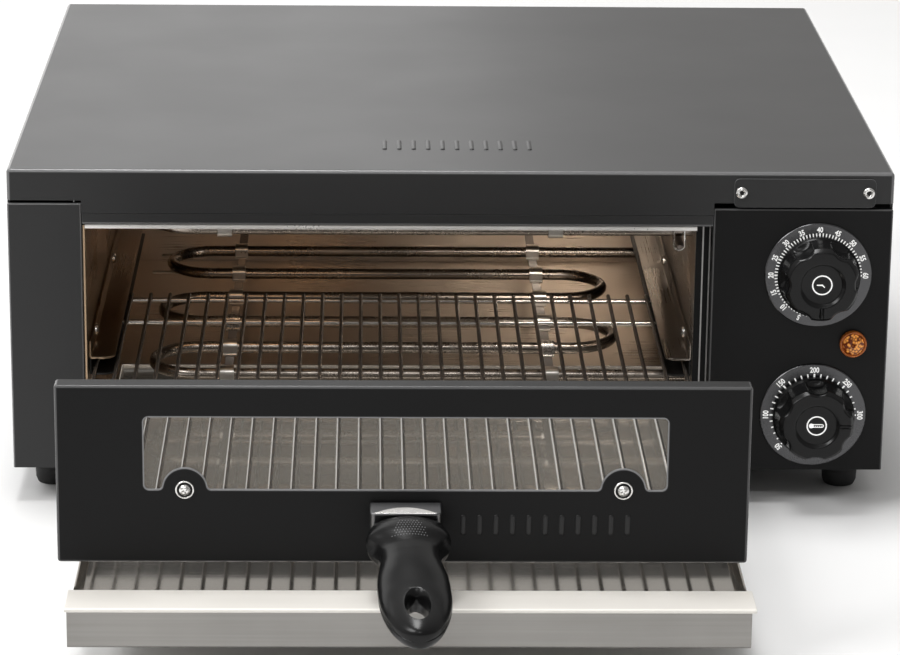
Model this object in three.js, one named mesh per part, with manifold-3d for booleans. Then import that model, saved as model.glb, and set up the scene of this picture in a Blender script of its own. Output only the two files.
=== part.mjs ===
// Countertop pizza oven: a sheet-metal body with a front-loading wire rack on a drop-in door,
// a crumb tray, two serpentine heating elements, a timer, a thermostat and a side power switch.
// Millimetres, +X to the right seen from the front, +Y to the back, +Z up. The design frame has
// x = 0 at the body's centre, y = 0 at its front face and z = 0 on the counter; the exported
// group moves it so that the bottom centre of the whole oven, with rack and tray pulled out,
// is the origin.
import * as THREE from "three";
import { mergeVertices } from "three/addons/utils/BufferGeometryUtils.js";
import Module from "manifold-3d";

// Body
const WIDTH = 480;
const DEPTH = 420;
const TOP = 190; // top of the cover above the counter
const BASE = 20; // underside of the base pan, on the feet
const SHEET = 1.2;
const COVER_SHEET = 1.5;
const FOLD = 3; // outer radius of the cover's folds
const GAP = 0.3; // clearance between touching pieces
const SIDE = WIDTH / 2;
const FOOT = { x: 221.5, y: 36 };
const REAR_INSET = 1.8; // the rear panel lies this far inside the cover's back edge
const SIDE_VENTS = { count: 6, pitch: 18, width: 5, front: 250, bottom: 60, top: 120 };
const REAR_SLOTS = { count: 14, pitch: 20, width: 5, left: -150, bottom: 120, top: 160 };
const BASE_SLOTS = { count: 5, pitch: 14, width: 5, left: 160, front: 120, back: 260 };
const CORD_OUTLET = { x: 200, z: 48, hole: 8.3, bore: 5 };
const BADGE = { left: 153, right: 230, bottom: 170.6, top: 186.7, corner: 3, thick: 0.7 };
const RIVET = { x: [157, 226], z: 179 };

// Front openings
const PILLAR_RIGHT = -200; // inner edge of the left front panel
const PANEL_LEFT = 142.5; // inner edge of the control panel
const PANEL_TOP = 170;
const PANEL_FOLD = 20; // depth of the control panel's folded edge
const PILLAR_FOLD = 12;
const HEADER_TOP = 165.4;
const HEADER_BOTTOM = 159;
const STRIP_FRONT = 10.6; // the trim strip stops the closed door

// Oven cavity, inner faces
const CAVITY_LEFT = -198.6;
const CAVITY_RIGHT = 134;
const CAVITY_BACK = 390;
const CAVITY_TOP = 158;
const CAVITY_FLOOR = 26;
const TRAY_ROOF = 48.6; // the right-hand wall stops here, so that the tray can be wider

// Rack drawer and crumb tray; their meshes are drawn closed and pulled out by their groups
const RACK_PULL = 239;
const TRAY_PULL = 278;
const DOOR = { left: -195.6, right: 140.4, bottom: 55.6, top: 146.1, flange: 10 };
const WINDOW = { left: -153.5, right: 100.5, bottom: 92.8, top: 130.6, corner: 3 };
const DOOR_SCREW_X = [-133.4, 79];
const DOOR_SCREW_Z = 93.4;
const HANDLE_X = -26.6;
const HANDLE_Z = 78.6; // height of the handle's axis at the door
const HANDLE_DROOP = 13; // degrees below horizontal
const HANDLE_LEAN = 3.5; // degrees that the grip points to the right of straight ahead
const HANDLE_START = 12;
const TRAY = { left: -189.6, right: 141.8, bottom: 26.4, top: 46.3, lip: 25, back: 388.6 };
const PAN = { left: -187.6, right: 140, wall: 18 };
const SHELF = { left: -183, right: 118, depth: 22, bottom: 62, top: 84 }; // inside the door
const HANDLE_EYE = { along: 72, halfWidth: 5.4, halfLength: 10.4 };
const HANDLE_BRACKET = { halfWidth: 17.5, below: 10, above: 8 };

// Rack and its rails
const WIRE = 1.2; // radius of the long wires
const CROSS_WIRE = 1.5;
const RACK_Z = 75; // centre of the long wires
const CROSS_DROP = 2.3; // from them down to the centres of the cross wires
const RACK_COUNT = 30;
const RACK_X = [-194.4, 130];
const RACK_Y = [10.6, 388.8];
const RAIL = { top: 80, slot: 8, lip: 14, strip: 9, front: 13, back: 296 };
const RAIL_CORNER = 6; // radius of the rail's front inner corner
const RAIL_SCREW_Y = [46, 190];
const RAIL_SCREW_RISE = 5.4; // above the rail's upper face
const CROSS_WIRE_Y = [14, 190, 341, 384.5];

// Heating elements
const ELEMENT_RADIUS = 3.25;
const ROW_PITCH = 50;
const ROWS = 6;
const BEND_X = [-141, 72]; // centres of the U-bends
const ELEMENT_END = 152;
const LOWER_ELEMENT = { z: 60, y: 45 };
const UPPER_ELEMENT = { z: 149, y: 30 };
const BRACKET_X = [-123.8, 58.2];
const CLIP = { halfWidth: 4, clear: 0.4, ahead: 14, legs: [-5, 4], leg: 1 };
const BULB = { x: 126, z: 142.2, front: 20, back: 95, radius: 2.5 };
const CAPILLARY_BEND = 20; // it leaves the cavity this far behind the bulb

// Controls
const DIAL = { radius: 29.4, thick: 1.3, bore: 4.4 };
const SCALLOP = { count: 6, distance: 27, radius: 9, floor: 6 }; // the knob's finger hollows
const SHAFT_RADIUS = 3;
const TIMER_DEPTH = 42;
const THERMOSTAT_DEPTH = 34;
const TIMER = { x: 200.3, z: 132.5 };
const THERMOSTAT = { x: 200.5, z: 52.3 };
const PILOT = { x: 221, z: 93.5, radius: 7.4 };
const PILOT_STEM = 4.7;
const ROCKER = { y: 45, z: 104, tilt: 12, halfWidth: 4.3 };
const SWITCH = { halfWidth: 6.2, halfHeight: 9.3, depth: 17, rim: 1.2 };

const wasm = await Module();
wasm.setup();

const root = new THREE.Group();
const body = new THREE.Group();
const rackDrawer = new THREE.Group();
const crumbTray = new THREE.Group();
rackDrawer.position.y = -RACK_PULL;
crumbTray.position.y = -TRAY_PULL;
root.add(body, rackDrawer, crumbTray);

// ---- solids ----

// A closed geometry as a solid, with its faces turned outwards.
function solid(geometry) {
  const plain = new THREE.BufferGeometry();
  plain.setAttribute("position", geometry.getAttribute("position"));
  plain.setIndex(geometry.index);
  const merged = mergeVertices(plain, 1e-4);
  const vertProperties = merged.attributes.position.array;
  const triVerts = new Uint32Array(merged.index.array);
  const make = () => new wasm.Manifold(new wasm.Mesh({ numProp: 3, vertProperties, triVerts }));
  const made = make();
  if (made.volume() > 0) return made;
  for (let i = 0; i < triVerts.length; i += 3) {
    [triVerts[i + 1], triVerts[i + 2]] = [triVerts[i + 2], triVerts[i + 1]];
  }
  return make();
}

const join = (...pieces) => pieces.reduce((whole, piece) => whole.add(piece));
const cut = (whole, ...tools) => tools.reduce((rest, tool) => rest.subtract(tool), whole);

function box(x0, x1, y0, y1, z0, z1) {
  const g = new THREE.BoxGeometry(x1 - x0, y1 - y0, z1 - z0);
  return solid(g.translate((x0 + x1) / 2, (y0 + y1) / 2, (z0 + z1) / 2));
}

// Axes of a plane figure: [across, up, along] for each extrusion direction.
const PLANES = {
  x: [[0, 1, 0], [0, 0, 1], [1, 0, 0]],
  y: [[0, 0, 1], [1, 0, 0], [0, 1, 0]],
  z: [[1, 0, 0], [0, 1, 0], [0, 0, 1]],
};

function planeMatrix(axis, along) {
  const [u, v, w] = PLANES[axis].map((a) => new THREE.Vector3(...a));
  return new THREE.Matrix4().makeBasis(u, v, w).setPosition(w.clone().multiplyScalar(along));
}

// An outline extruded from one place to another: along x it is given as (y, z),
// along y as (z, x), and along z as (x, y).
function extrude(axis, from, to, shape, curveSegments = 4) {
  const g = new THREE.ExtrudeGeometry(shape, { depth: to - from, bevelEnabled: false, curveSegments });
  return solid(g.applyMatrix4(planeMatrix(axis, from)));
}

const outline = (points) => new THREE.Shape(points.map(([a, b]) => new THREE.Vector2(a, b)));

function roundedRect(a0, a1, b0, b1, r) {
  const s = new THREE.Shape();
  s.absarc(a0 + r, b0 + r, r, Math.PI, 1.5 * Math.PI);
  s.absarc(a1 - r, b0 + r, r, 1.5 * Math.PI, 2 * Math.PI);
  s.absarc(a1 - r, b1 - r, r, 0, 0.5 * Math.PI);
  s.absarc(a0 + r, b1 - r, r, 0.5 * Math.PI, Math.PI);
  return s;
}

const disc = (a, b, r) => new THREE.Shape().absarc(a, b, r, 0, 2 * Math.PI);

// A round bar, or the cutter of a round hole.
const rod = (axis, from, to, a, b, r, facets = 12) => {
  return extrude(axis, from, to, disc(a, b, r), facets);
};

// A profile of (radius, height) pairs turned about the vertical axis.
function turned(profile, sides = 24) {
  const points = profile.map(([r, h]) => new THREE.Vector2(r, h));
  return solid(new THREE.LatheGeometry(points, sides).rotateX(Math.PI / 2));
}

// Turned about a line parallel to Y instead: heights count forwards, towards -Y.
function turnedForward(profile, sides) {
  const points = profile.map(([r, h]) => new THREE.Vector2(r, h));
  return solid(new THREE.LatheGeometry(points, sides).rotateX(Math.PI));
}

function tube(curve, radius, steps, curveSegments) {
  const settings = { extrudePath: curve, steps, curveSegments };
  return solid(new THREE.ExtrudeGeometry(disc(0, 0, radius), settings));
}

// A row of equal slots: place gives the box of each from its start along the row.
function slotRow({ count, pitch, width }, start, place) {
  const slots = [];
  for (let i = 0; i < count; i++) {
    const at = start + i * pitch;
    slots.push(box(...place(at, at + width)));
  }
  return slots;
}

function material(color, roughness, metalness, extra = {}) {
  return new THREE.MeshStandardMaterial({ color, roughness, metalness, ...extra });
}

const satinBlack = () => material(0x1e1e1f, 0.45, 0.3);
const charcoal = () => material(0x3a3a3c, 0.42, 0.35);
const stainless = () => material(0x8f8a84, 0.32, 0.95);
const brightSteel = () => material(0xc9c6c0, 0.2, 1);
const phenolic = () => material(0x141414, 0.38, 0);
const rubber = () => material(0x101010, 0.8, 0);
const ceramic = () => material(0xe6e0d2, 0.6, 0);
const clearGlass = () => material(0xdfe6e6, 0.05, 0, { transparent: true, opacity: 0.25 });

function add(parent, name, shape, finish) {
  const m = shape.getMesh();
  const g = new THREE.BufferGeometry();
  g.setAttribute("position", new THREE.BufferAttribute(new Float32Array(m.vertProperties), 3));
  g.setIndex(new THREE.BufferAttribute(new Uint32Array(m.triVerts), 1));
  g.computeVertexNormals();
  const mesh = new THREE.Mesh(g, finish);
  mesh.name = name;
  parent.add(mesh);
  return mesh;
}

// ---- casing ----

// One folded sheet: top, two sides and a shallow front flange.
function outerCover() {
  const s = COVER_SHEET;
  const arc = (out, r, a0, a1, cx, cz) => {
    for (let i = 0; i <= 4; i++) {
      const a = a0 + ((a1 - a0) * i) / 4;
      out.push([cz + r * Math.sin(a), cx + r * Math.cos(a)]);
    }
  };
  const hoop = [[BASE, -SIDE]];
  arc(hoop, FOLD, Math.PI, Math.PI / 2, -SIDE + FOLD, TOP - FOLD);
  arc(hoop, FOLD, Math.PI / 2, 0, SIDE - FOLD, TOP - FOLD);
  hoop.push([BASE, SIDE], [BASE, SIDE - s]);
  arc(hoop, FOLD - s, 0, Math.PI / 2, SIDE - FOLD, TOP - FOLD);
  arc(hoop, FOLD - s, Math.PI / 2, Math.PI, -SIDE + FOLD, TOP - FOLD);
  hoop.push([BASE, -SIDE + s]);
  const shell = extrude("y", SHEET + GAP, DEPTH, outline(hoop));

  const flange = [[0, HEADER_TOP + GAP]];
  const inner = [];
  for (let i = 0; i <= 4; i++) {
    const a = Math.PI - (Math.PI / 2) * (i / 4);
    flange.push([FOLD + FOLD * Math.cos(a), TOP - FOLD + FOLD * Math.sin(a)]);
    inner.unshift([FOLD + (FOLD - s) * Math.cos(a), TOP - FOLD + (FOLD - s) * Math.sin(a)]);
  }
  flange.push([FOLD + 6, TOP], [FOLD + 6, TOP - s], ...inner, [s, HEADER_TOP + GAP]);
  const front = cut(
    extrude("x", -SIDE + 0.4, SIDE - 0.4, outline(flange)),
    box(-SIDE, PILLAR_RIGHT, -1, s + 0.5, HEADER_TOP, PANEL_TOP + 2),
    box(PANEL_LEFT, SIDE, -1, s + 0.5, HEADER_TOP, PANEL_TOP + 2),
  );
  const across = SWITCH.halfWidth + GAP;
  const up = SWITCH.halfHeight + GAP;
  const switchHole = box(
    SIDE - 5, SIDE + 5, ROCKER.y - across, ROCKER.y + across, ROCKER.z - up, ROCKER.z + up,
  );
  const v = SIDE_VENTS;
  const vents = slotRow(v, v.front, (y0, y1) => [SIDE - 5, SIDE + 5, y0, y1, v.bottom, v.top]);
  return cut(join(shell, front), switchHole, ...vents);
}

// Rear panel with a row of cooling slots and the hole of the cord bush.
function rearPanel() {
  const y = DEPTH - REAR_INSET;
  const edge = SIDE - COVER_SHEET - GAP;
  const plate = box(-edge, edge, y - SHEET, y, BASE + COVER_SHEET, TOP - COVER_SHEET - 3 * GAP);
  const r = REAR_SLOTS;
  const slots = slotRow(r, r.left, (x0, x1) => [x0, x1, y - 5, y + 5, r.bottom, r.top]);
  return cut(plate, rod("y", y - 5, y + 5, CORD_OUTLET.z, CORD_OUTLET.x, CORD_OUTLET.hole), ...slots);
}

function basePan() {
  const edge = SIDE - COVER_SHEET - GAP;
  const back = DEPTH - REAR_INSET - SHEET - GAP;
  const floor = box(-edge, edge, 1.8, back, BASE, BASE + SHEET);
  const sill = box(PILLAR_RIGHT + GAP, PANEL_LEFT - GAP, 0.5, 2, BASE, CAVITY_FLOOR - 0.6);
  const b = BASE_SLOTS;
  const slots = slotRow(b, b.left, (x0, x1) => [x0, x1, b.front, b.back, BASE - 1, BASE + 3]);
  return cut(join(floor, sill), ...slots);
}

function leftFrontPanel() {
  const face = box(-SIDE, PILLAR_RIGHT, 0, SHEET, BASE, PANEL_TOP + 1);
  const inner = PILLAR_RIGHT - SHEET;
  const fold = box(inner, PILLAR_RIGHT, 0.5, PILLAR_FOLD, BASE + 1.6, PANEL_TOP + 1);
  return join(face, fold);
}

// The control panel, folded back along its left edge, with holes for what it carries.
function controlPanel() {
  const face = box(PANEL_LEFT, SIDE, 0, SHEET, BASE, PANEL_TOP - 0.5);
  const inner = PANEL_LEFT + SHEET;
  const fold = box(PANEL_LEFT, inner, 0.5, PANEL_FOLD, BASE + 1.6, PANEL_TOP - 0.5);
  const hole = (place, r) => rod("y", -2, 3, place.z, place.x, r, 6);
  const bore = SHAFT_RADIUS + SHEET;
  return cut(
    join(face, fold), hole(TIMER, bore), hole(THERMOSTAT, bore), hole(PILOT, PILOT_STEM + 0.5),
  );
}

// Trim under the cover's flange, above the oven's mouth.
function headerStrip() {
  const shape = outline([
    [0.3, HEADER_BOTTOM], [0.3, HEADER_TOP], [SHEET + 0.3, HEADER_TOP],
    [SHEET + 0.3, HEADER_BOTTOM + SHEET], [12, HEADER_BOTTOM + SHEET], [12, HEADER_BOTTOM],
  ]);
  return extrude("x", PILLAR_RIGHT + GAP, PANEL_LEFT - GAP, shape);
}

function badgePlate() {
  const { left, right, bottom, top, corner, thick } = BADGE;
  return extrude("y", -GAP - thick, -GAP, roundedRect(bottom, top, left, right, corner), 3);
}

// A hollow rivet, its head forwards.
function rivet() {
  const profile = [[0, 0], [3.3, 0], [3.1, 0.9], [2, 1.4], [1.3, 1.2], [1.2, 0.5], [0, 0.5]];
  return turnedForward(profile, 12);
}

// A tapered foot with a recess for its screw.
function foot() {
  const profile = [
    [3, 0], [7.6, 0], [9.4, 1.6], [11.6, BASE - 1.5], [11.2, BASE - GAP], [0, BASE - GAP],
    [0, 12], [3, 12], [3, 0],
  ];
  return turned(profile, 20);
}

add(body, "outer_cover", outerCover(), charcoal());
add(body, "rear_panel", rearPanel(), charcoal());
add(body, "base_pan", basePan(), satinBlack());
add(body, "left_front_panel", leftFrontPanel(), charcoal());
add(body, "control_panel", controlPanel(), satinBlack());
add(body, "header_strip", headerStrip(), satinBlack());
add(body, "badge_plate", badgePlate(), satinBlack());
for (const [side, x] of [["left", RIVET.x[0]], ["right", RIVET.x[1]]]) {
  const head = add(body, `badge_rivet_${side}`, rivet(), brightSteel());
  head.position.set(x, -BADGE.thick - 2 * GAP, RIVET.z);
}
for (const [row, y] of [["front", FOOT.y], ["rear", DEPTH - FOOT.y]]) {
  for (const [side, x] of [["left", -FOOT.x], ["right", FOOT.x]]) {
    add(body, `foot_${row}_${side}`, foot(), rubber()).position.set(x, y, 0);
  }
}

// ---- cavity ----

const elementEnds = (element) => {
  return [element.y, element.y + ROW_PITCH * (ROWS - 1)].map((y) => [y, element.z]);
};

// The right-hand wall, its foot folded out over the tray, with the holes of the two elements
// and of the thermostat's capillary.
function linerRight() {
  const front = STRIP_FRONT + SHEET + 0.2;
  const back = CAVITY_BACK - GAP;
  const wall = join(
    box(CAVITY_RIGHT, CAVITY_RIGHT + SHEET, front, back, TRAY_ROOF, CAVITY_TOP),
    box(CAVITY_RIGHT, PANEL_LEFT - GAP, front, back, TRAY_ROOF, TRAY_ROOF + SHEET),
  );
  const hole = ([y, z], r) => rod("x", CAVITY_RIGHT - 2, CAVITY_RIGHT + 4, y, z, r, 5);
  const ends = [...elementEnds(LOWER_ELEMENT), ...elementEnds(UPPER_ELEMENT)];
  const capillary = hole([BULB.back + CAPILLARY_BEND, BULB.z], 2.6);
  return cut(wall, ...ends.map((end) => hole(end, ELEMENT_RADIUS + 0.55)), capillary);
}

// The floor stands on the base pan on its folded sides; the right one is also the tray's wall,
// and it is notched at the front, where the tray's wider lip goes in.
function linerFloor() {
  const back = CAVITY_BACK - GAP;
  const left = CAVITY_LEFT + GAP;
  const right = PANEL_LEFT - GAP;
  const foot = BASE + SHEET + GAP;
  const under = CAVITY_FLOOR - SHEET;
  const roof = TRAY_ROOF - GAP;
  const folded = extrude("y", 3, back, outline([
    [foot, left], [CAVITY_FLOOR, left], [CAVITY_FLOOR, right - SHEET], [roof, right - SHEET],
    [roof, right], [foot, right], [foot, right - SHEET], [under, right - SHEET],
    [under, left + SHEET], [foot, left + SHEET],
  ]));
  return cut(folded, box(right - 2, right + 1, 1, TRAY.lip + 2, CAVITY_FLOOR, TRAY_ROOF));
}

function linerLeft() {
  return box(CAVITY_LEFT - 1, CAVITY_LEFT, 3, CAVITY_BACK - GAP, BASE + 2, CAVITY_TOP);
}

function linerBack() {
  const right = PANEL_LEFT - GAP;
  return box(CAVITY_LEFT - 1, right, CAVITY_BACK, CAVITY_BACK + SHEET, BASE + 2, CAVITY_TOP);
}

// The ceiling's front edge turns down into a bright lip below the header strip.
function linerCeiling() {
  const front = 2.4;
  const back = CAVITY_BACK + SHEET;
  const under = CAVITY_TOP + 0.4;
  return join(
    box(CAVITY_LEFT - 1, CAVITY_RIGHT + SHEET, front, back, under, under + 0.5),
    box(CAVITY_LEFT + GAP, CAVITY_RIGHT - GAP, front, front + SHEET, CAVITY_TOP - 1.8, under + 0.2),
  );
}

function rightTrimStrip() {
  const back = STRIP_FRONT + SHEET - 0.1;
  return box(CAVITY_RIGHT, PANEL_LEFT - GAP, STRIP_FRONT, back, TRAY_ROOF, CAVITY_TOP);
}

add(body, "liner_left", linerLeft(), stainless());
add(body, "liner_right", linerRight(), stainless());
add(body, "liner_back", linerBack(), stainless());
add(body, "liner_ceiling", linerCeiling(), stainless());
add(body, "liner_floor", linerFloor(), stainless());
add(body, "right_trim_strip", rightTrimStrip(), satinBlack());

// A channel rail on the side wall, with the rack's edge sliding in its slot: side is -1 on
// the left and 1 on the right.
const railWall = (side) => (side < 0 ? CAVITY_LEFT + GAP : CAVITY_RIGHT - GAP);

function rail(side) {
  const wall = railWall(side);
  const x = (d) => wall - side * d;
  const { top, slot, lip, strip, front, back } = RAIL;
  const low = top - SHEET - slot;
  const channel = extrude("y", front, back, outline([
    [low - SHEET, x(0)], [top + strip, x(0)], [top + strip, x(SHEET)], [top, x(SHEET)],
    [top, x(lip)], [top - SHEET, x(lip)], [top - SHEET, x(SHEET)], [low, x(SHEET)],
    [low, x(lip)], [low - SHEET, x(lip)],
  ]));
  const corner = new THREE.Shape();
  const r = RAIL_CORNER;
  corner.moveTo(x(lip + 1), front - 1);
  corner.lineTo(x(lip - r), front - 1);
  corner.lineTo(x(lip - r), front);
  for (let i = 1; i <= 4; i++) {
    const a = (Math.PI / 2) * (i / 4);
    corner.lineTo(x(lip - r + r * Math.sin(a)), front + r - r * Math.cos(a));
  }
  corner.lineTo(x(lip + 1), front + r);
  const holes = RAIL_SCREW_Y.map((y) => rod("x", wall - 3, wall + 3, y, top + RAIL_SCREW_RISE, 1.7, 4));
  return cut(channel, extrude("z", low - 4, top + 1, corner), ...holes);
}

// A small pan-head screw along X, its head on the inner face of the rail's strip.
function railScrew(side) {
  const profile = [[0, -1.15], [1.4, -1.15], [1.4, 0], [3.2, 0], [2.9, 1.3], [1.6, 1.9], [0, 1.9]];
  const points = profile.map(([r, h]) => new THREE.Vector2(r, h));
  return solid(new THREE.LatheGeometry(points, 10).rotateZ((side * Math.PI) / 2));
}

for (const [name, side] of [["left", -1], ["right", 1]]) {
  add(body, `rail_${name}`, rail(side), stainless());
  for (const [place, y] of [["front", RAIL_SCREW_Y[0]], ["rear", RAIL_SCREW_Y[1]]]) {
    const screw = add(body, `rail_screw_${name}_${place}`, railScrew(side), brightSteel());
    screw.position.set(railWall(side) - side * (SHEET + 0.2), y, RAIL.top + RAIL_SCREW_RISE);
  }
}

// ---- heating ----

// Straight rows joined by U-bends; both ends leave through the right-hand wall.
function serpentine({ y: y0, z }) {
  const path = new THREE.CurvePath();
  const points = [[ELEMENT_END, y0]];
  const r = ROW_PITCH / 2;
  for (let row = 0; row < ROWS; row++) {
    const y = y0 + row * ROW_PITCH;
    const goesLeft = row % 2 === 0;
    if (row) points.push([goesLeft ? BEND_X[1] : BEND_X[0], y]);
    points.push([row === ROWS - 1 ? ELEMENT_END : goesLeft ? BEND_X[0] : BEND_X[1], y]);
    if (row === ROWS - 1) break;
    for (let i = 1; i < 8; i++) {
      const a = (Math.PI * i) / 8;
      const out = r * Math.sin(a);
      points.push([goesLeft ? BEND_X[0] - out : BEND_X[1] + out, y + r - r * Math.cos(a)]);
    }
  }
  return sweep(points.map(([x, y]) => new THREE.Vector3(x, y, z)), ELEMENT_RADIUS, 8);
}

// A closed tube through points in a level plane, mitred at each point.
function sweep(points, radius, sides) {
  const position = [];
  const index = [];
  points.forEach((p, k) => {
    const back = points[Math.max(k - 1, 0)];
    const ahead = points[Math.min(k + 1, points.length - 1)];
    const into = p.clone().sub(back).normalize();
    const out = ahead.clone().sub(p).normalize();
    const along = into.clone().add(out).normalize();
    const straight = k === 0 ? out : into;
    const across = radius / straight.dot(along);
    for (let s = 0; s < sides; s++) {
      const a = (2 * Math.PI * (s + 0.5)) / sides;
      const d = across * Math.cos(a);
      position.push(p.x - along.y * d, p.y + along.x * d, p.z + radius * Math.sin(a));
    }
  });
  for (let k = 0; k + 1 < points.length; k++) {
    for (let s = 0; s < sides; s++) {
      const a = k * sides + s;
      const b = k * sides + ((s + 1) % sides);
      index.push(a, b, b + sides, a, b + sides, a + sides);
    }
  }
  const last = (points.length - 1) * sides;
  for (let s = 1; s + 1 < sides; s++) {
    index.push(0, s + 1, s, last, last + s, last + s + 1);
  }
  const g = new THREE.BufferGeometry();
  g.setAttribute("position", new THREE.Float32BufferAttribute(position, 3));
  g.setIndex(index);
  return solid(g);
}

// A strip along the element with a loop round each row: from the back wall under the lower
// element, and hung from the ceiling over the upper one.
function elementBracket(x, element, hung) {
  const side = hung ? 1 : -1;
  const { y, z } = element;
  const { halfWidth, clear, ahead, legs, leg } = CLIP;
  const near = z + side * (ELEMENT_RADIUS + clear);
  const far = near + side * SHEET;
  const end = z - side * (ELEMENT_RADIUS + clear);
  const span = (a, b) => [Math.min(a, b), Math.max(a, b)];
  const piece = (from, to, low, high) => box(x - halfWidth, x + halfWidth, from, to, ...span(low, high));
  const pieces = [];
  if (hung) {
    const length = (ROWS - 1) * ROW_PITCH + ahead + 2;
    pieces.push(piece(y - ahead, y + length, near, far));
    for (const at of [y - ahead, y + length / 2 - ahead, y + length - SHEET]) {
      pieces.push(piece(at, at + SHEET, near, CAVITY_TOP));
    }
  } else {
    const back = CAVITY_BACK - GAP;
    pieces.push(piece(y - ahead, back, near, far));
    pieces.push(piece(back - SHEET, back, far, near + 14));
  }
  for (let row = 0; row < ROWS; row++) {
    const at = y + row * ROW_PITCH;
    for (const d of legs) {
      pieces.push(piece(at + d, at + d + leg, near, end));
    }
    pieces.push(piece(at + legs[0], at + legs[1] + leg, end, end - side));
  }
  return join(...pieces);
}

// A bushing round the element's end, outside the cavity.
function terminal() {
  const profile = [[3.9, 0], [8, 0], [8, 4], [6, 5], [6, 12], [3.9, 12], [3.9, 0]];
  return turned(profile, 12);
}

function thermostatBulb() {
  const { x, z, front, back, radius } = BULB;
  const ends = [front, back].map((y) => new THREE.Vector3(x, y, z));
  const bulb = sweep(ends, radius, 8);
  const bend = back + CAPILLARY_BEND;
  const run = [
    [x, back - 4, z], [x + 0.6, back + 10, z], [x + 4, bend - 1, z], [x + 9, bend, z],
    [x + 24, bend, z], [162, 104, z], [172, 100, 126], [174, 94, 90], [180, 76, 62],
    [190, 58, 54], [198, 46, 52.6], [200, 36.4, 52.3],
  ];
  const curve = new THREE.CatmullRomCurve3(run.map((p) => new THREE.Vector3(...p)));
  return join(bulb, tube(curve, 1.2, 40, 3));
}

for (const [level, element] of [["lower", LOWER_ELEMENT], ["upper", UPPER_ELEMENT]]) {
  add(body, `${level}_element`, serpentine(element), material(0x4a4540, 0.35, 0.8));
  for (const [side, x] of [["left", BRACKET_X[0]], ["right", BRACKET_X[1]]]) {
    const bracket = elementBracket(x, element, level === "upper");
    add(body, `${level}_element_bracket_${side}`, bracket, stainless());
  }
  elementEnds(element).forEach(([y, z], i) => {
    const place = i === 0 ? "front" : "rear";
    const bushing = add(body, `${level}_terminal_${place}`, terminal(), ceramic());
    bushing.rotation.y = Math.PI / 2;
    bushing.position.set(CAVITY_RIGHT + SHEET + GAP, y, z);
  });
}
add(body, "thermostat_bulb", thermostatBulb(), brightSteel());

// ---- controls ----

function dialPlate() {
  const { radius, thick, bore } = DIAL;
  const chamfer = thick / 2;
  return turnedForward([
    [bore, 0], [radius, 0], [radius, chamfer], [radius - chamfer, thick], [bore, thick], [bore, 0],
  ], 40);
}

// A knob with a skirt, a six-lobed grip, a dished centre and a pointer groove.
function knob() {
  const blank = turnedForward([
    [0, 0], [22.5, 0], [22.8, 3.5], [21.8, 5], [20.6, 17], [18.6, 19.6], [12, 20],
    [10.6, 18.6], [0, 18.2],
  ], 36);
  const { count, distance, radius, floor } = SCALLOP;
  const scallops = [];
  for (let i = 0; i < count; i++) {
    const a = (2 * Math.PI * (i + 0.5)) / count;
    scallops.push(rod("y", -30, -floor, distance * Math.cos(a), distance * Math.sin(a), radius, 5));
  }
  const groove = box(-0.6, 0.6, -25, -19.4, -21.5, -13);
  const bore = rod("y", -6, 1, 0, 0, SHAFT_RADIUS + 0.4, 5);
  return cut(blank, ...scallops, groove, bore);
}

const shaft = () => rod("y", -5.6, 15, 0, 0, SHAFT_RADIUS, 4);

function controlBody(depth) {
  const half = 18;
  const block = box(-half, half, 0, depth, -half, half);
  return cut(block, rod("y", -1, 14, 0, 0, SHAFT_RADIUS + 0.5, 5));
}

// A fixed plate, the mechanism behind the panel, and the knob with its shaft: pointer is the
// knob's angle from straight down.
function control(name, place, depth, pointer) {
  const plate = add(body, `${name}_dial_plate`, dialPlate(), satinBlack());
  plate.position.set(place.x, -GAP, place.z);
  const block = add(body, `${name}_body`, controlBody(depth), material(0xb9b2a4, 0.5, 0.2));
  block.position.set(place.x, SHEET + GAP, place.z);
  const turning = new THREE.Group();
  turning.position.set(place.x, 0, place.z);
  turning.rotation.y = pointer;
  body.add(turning);
  add(turning, `${name}_knob`, knob(), phenolic()).position.y = -DIAL.thick - 2 * GAP;
  add(turning, `${name}_shaft`, shaft(), brightSteel());
}

control("timer", TIMER, TIMER_DEPTH, 0);
control("thermostat", THERMOSTAT, THERMOSTAT_DEPTH, -Math.PI / 2);

// The amber lens has a stepped crown and a stem through the panel.
function pilotLens() {
  const r = PILOT.radius;
  return turnedForward([
    [0, -3], [PILOT_STEM, -3], [PILOT_STEM, 0], [r, 0], [r, 2], [r - 1, 3.4], [r - 2.4, 4.4], [0, 5],
  ], 16);
}

const lens = add(body, "pilot_lens", pilotLens(), material(0xe06a10, 0.2, 0));
lens.position.set(PILOT.x, -GAP, PILOT.z);
add(body, "pilot_body", rod("y", 3.2, 26, PILOT.z, PILOT.x, 6.5, 6), ceramic());

// The switch housing: a flange on the side wall and an open box through it.
function switchHousing() {
  const { y, z } = ROCKER;
  const block = (from, to, grow) => box(
    SIDE + from, SIDE + to,
    y - SWITCH.halfWidth - grow, y + SWITCH.halfWidth + grow,
    z - SWITCH.halfHeight - grow, z + SWITCH.halfHeight + grow,
  );
  const housing = join(block(GAP, 2, SWITCH.rim), block(-SWITCH.depth, 1, 0));
  const well = box(
    SIDE - 9, SIDE + 5,
    y - ROCKER.halfWidth - 0.4, y + ROCKER.halfWidth + 0.4,
    z - SWITCH.halfHeight + SWITCH.rim, z + SWITCH.halfHeight - SWITCH.rim,
  );
  return cut(housing, well);
}

// The rocker turns about its middle; its lower half stands out.
function rocker() {
  return extrude("y", -ROCKER.halfWidth, ROCKER.halfWidth, outline([
    [-6.6, -3.4], [-7.2, 2.6], [-6.6, 5], [0, 1.8], [6.6, 5], [7.2, 2.6], [6.6, -3.4],
    [2.4, -6], [-2.4, -6],
  ]));
}

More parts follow.
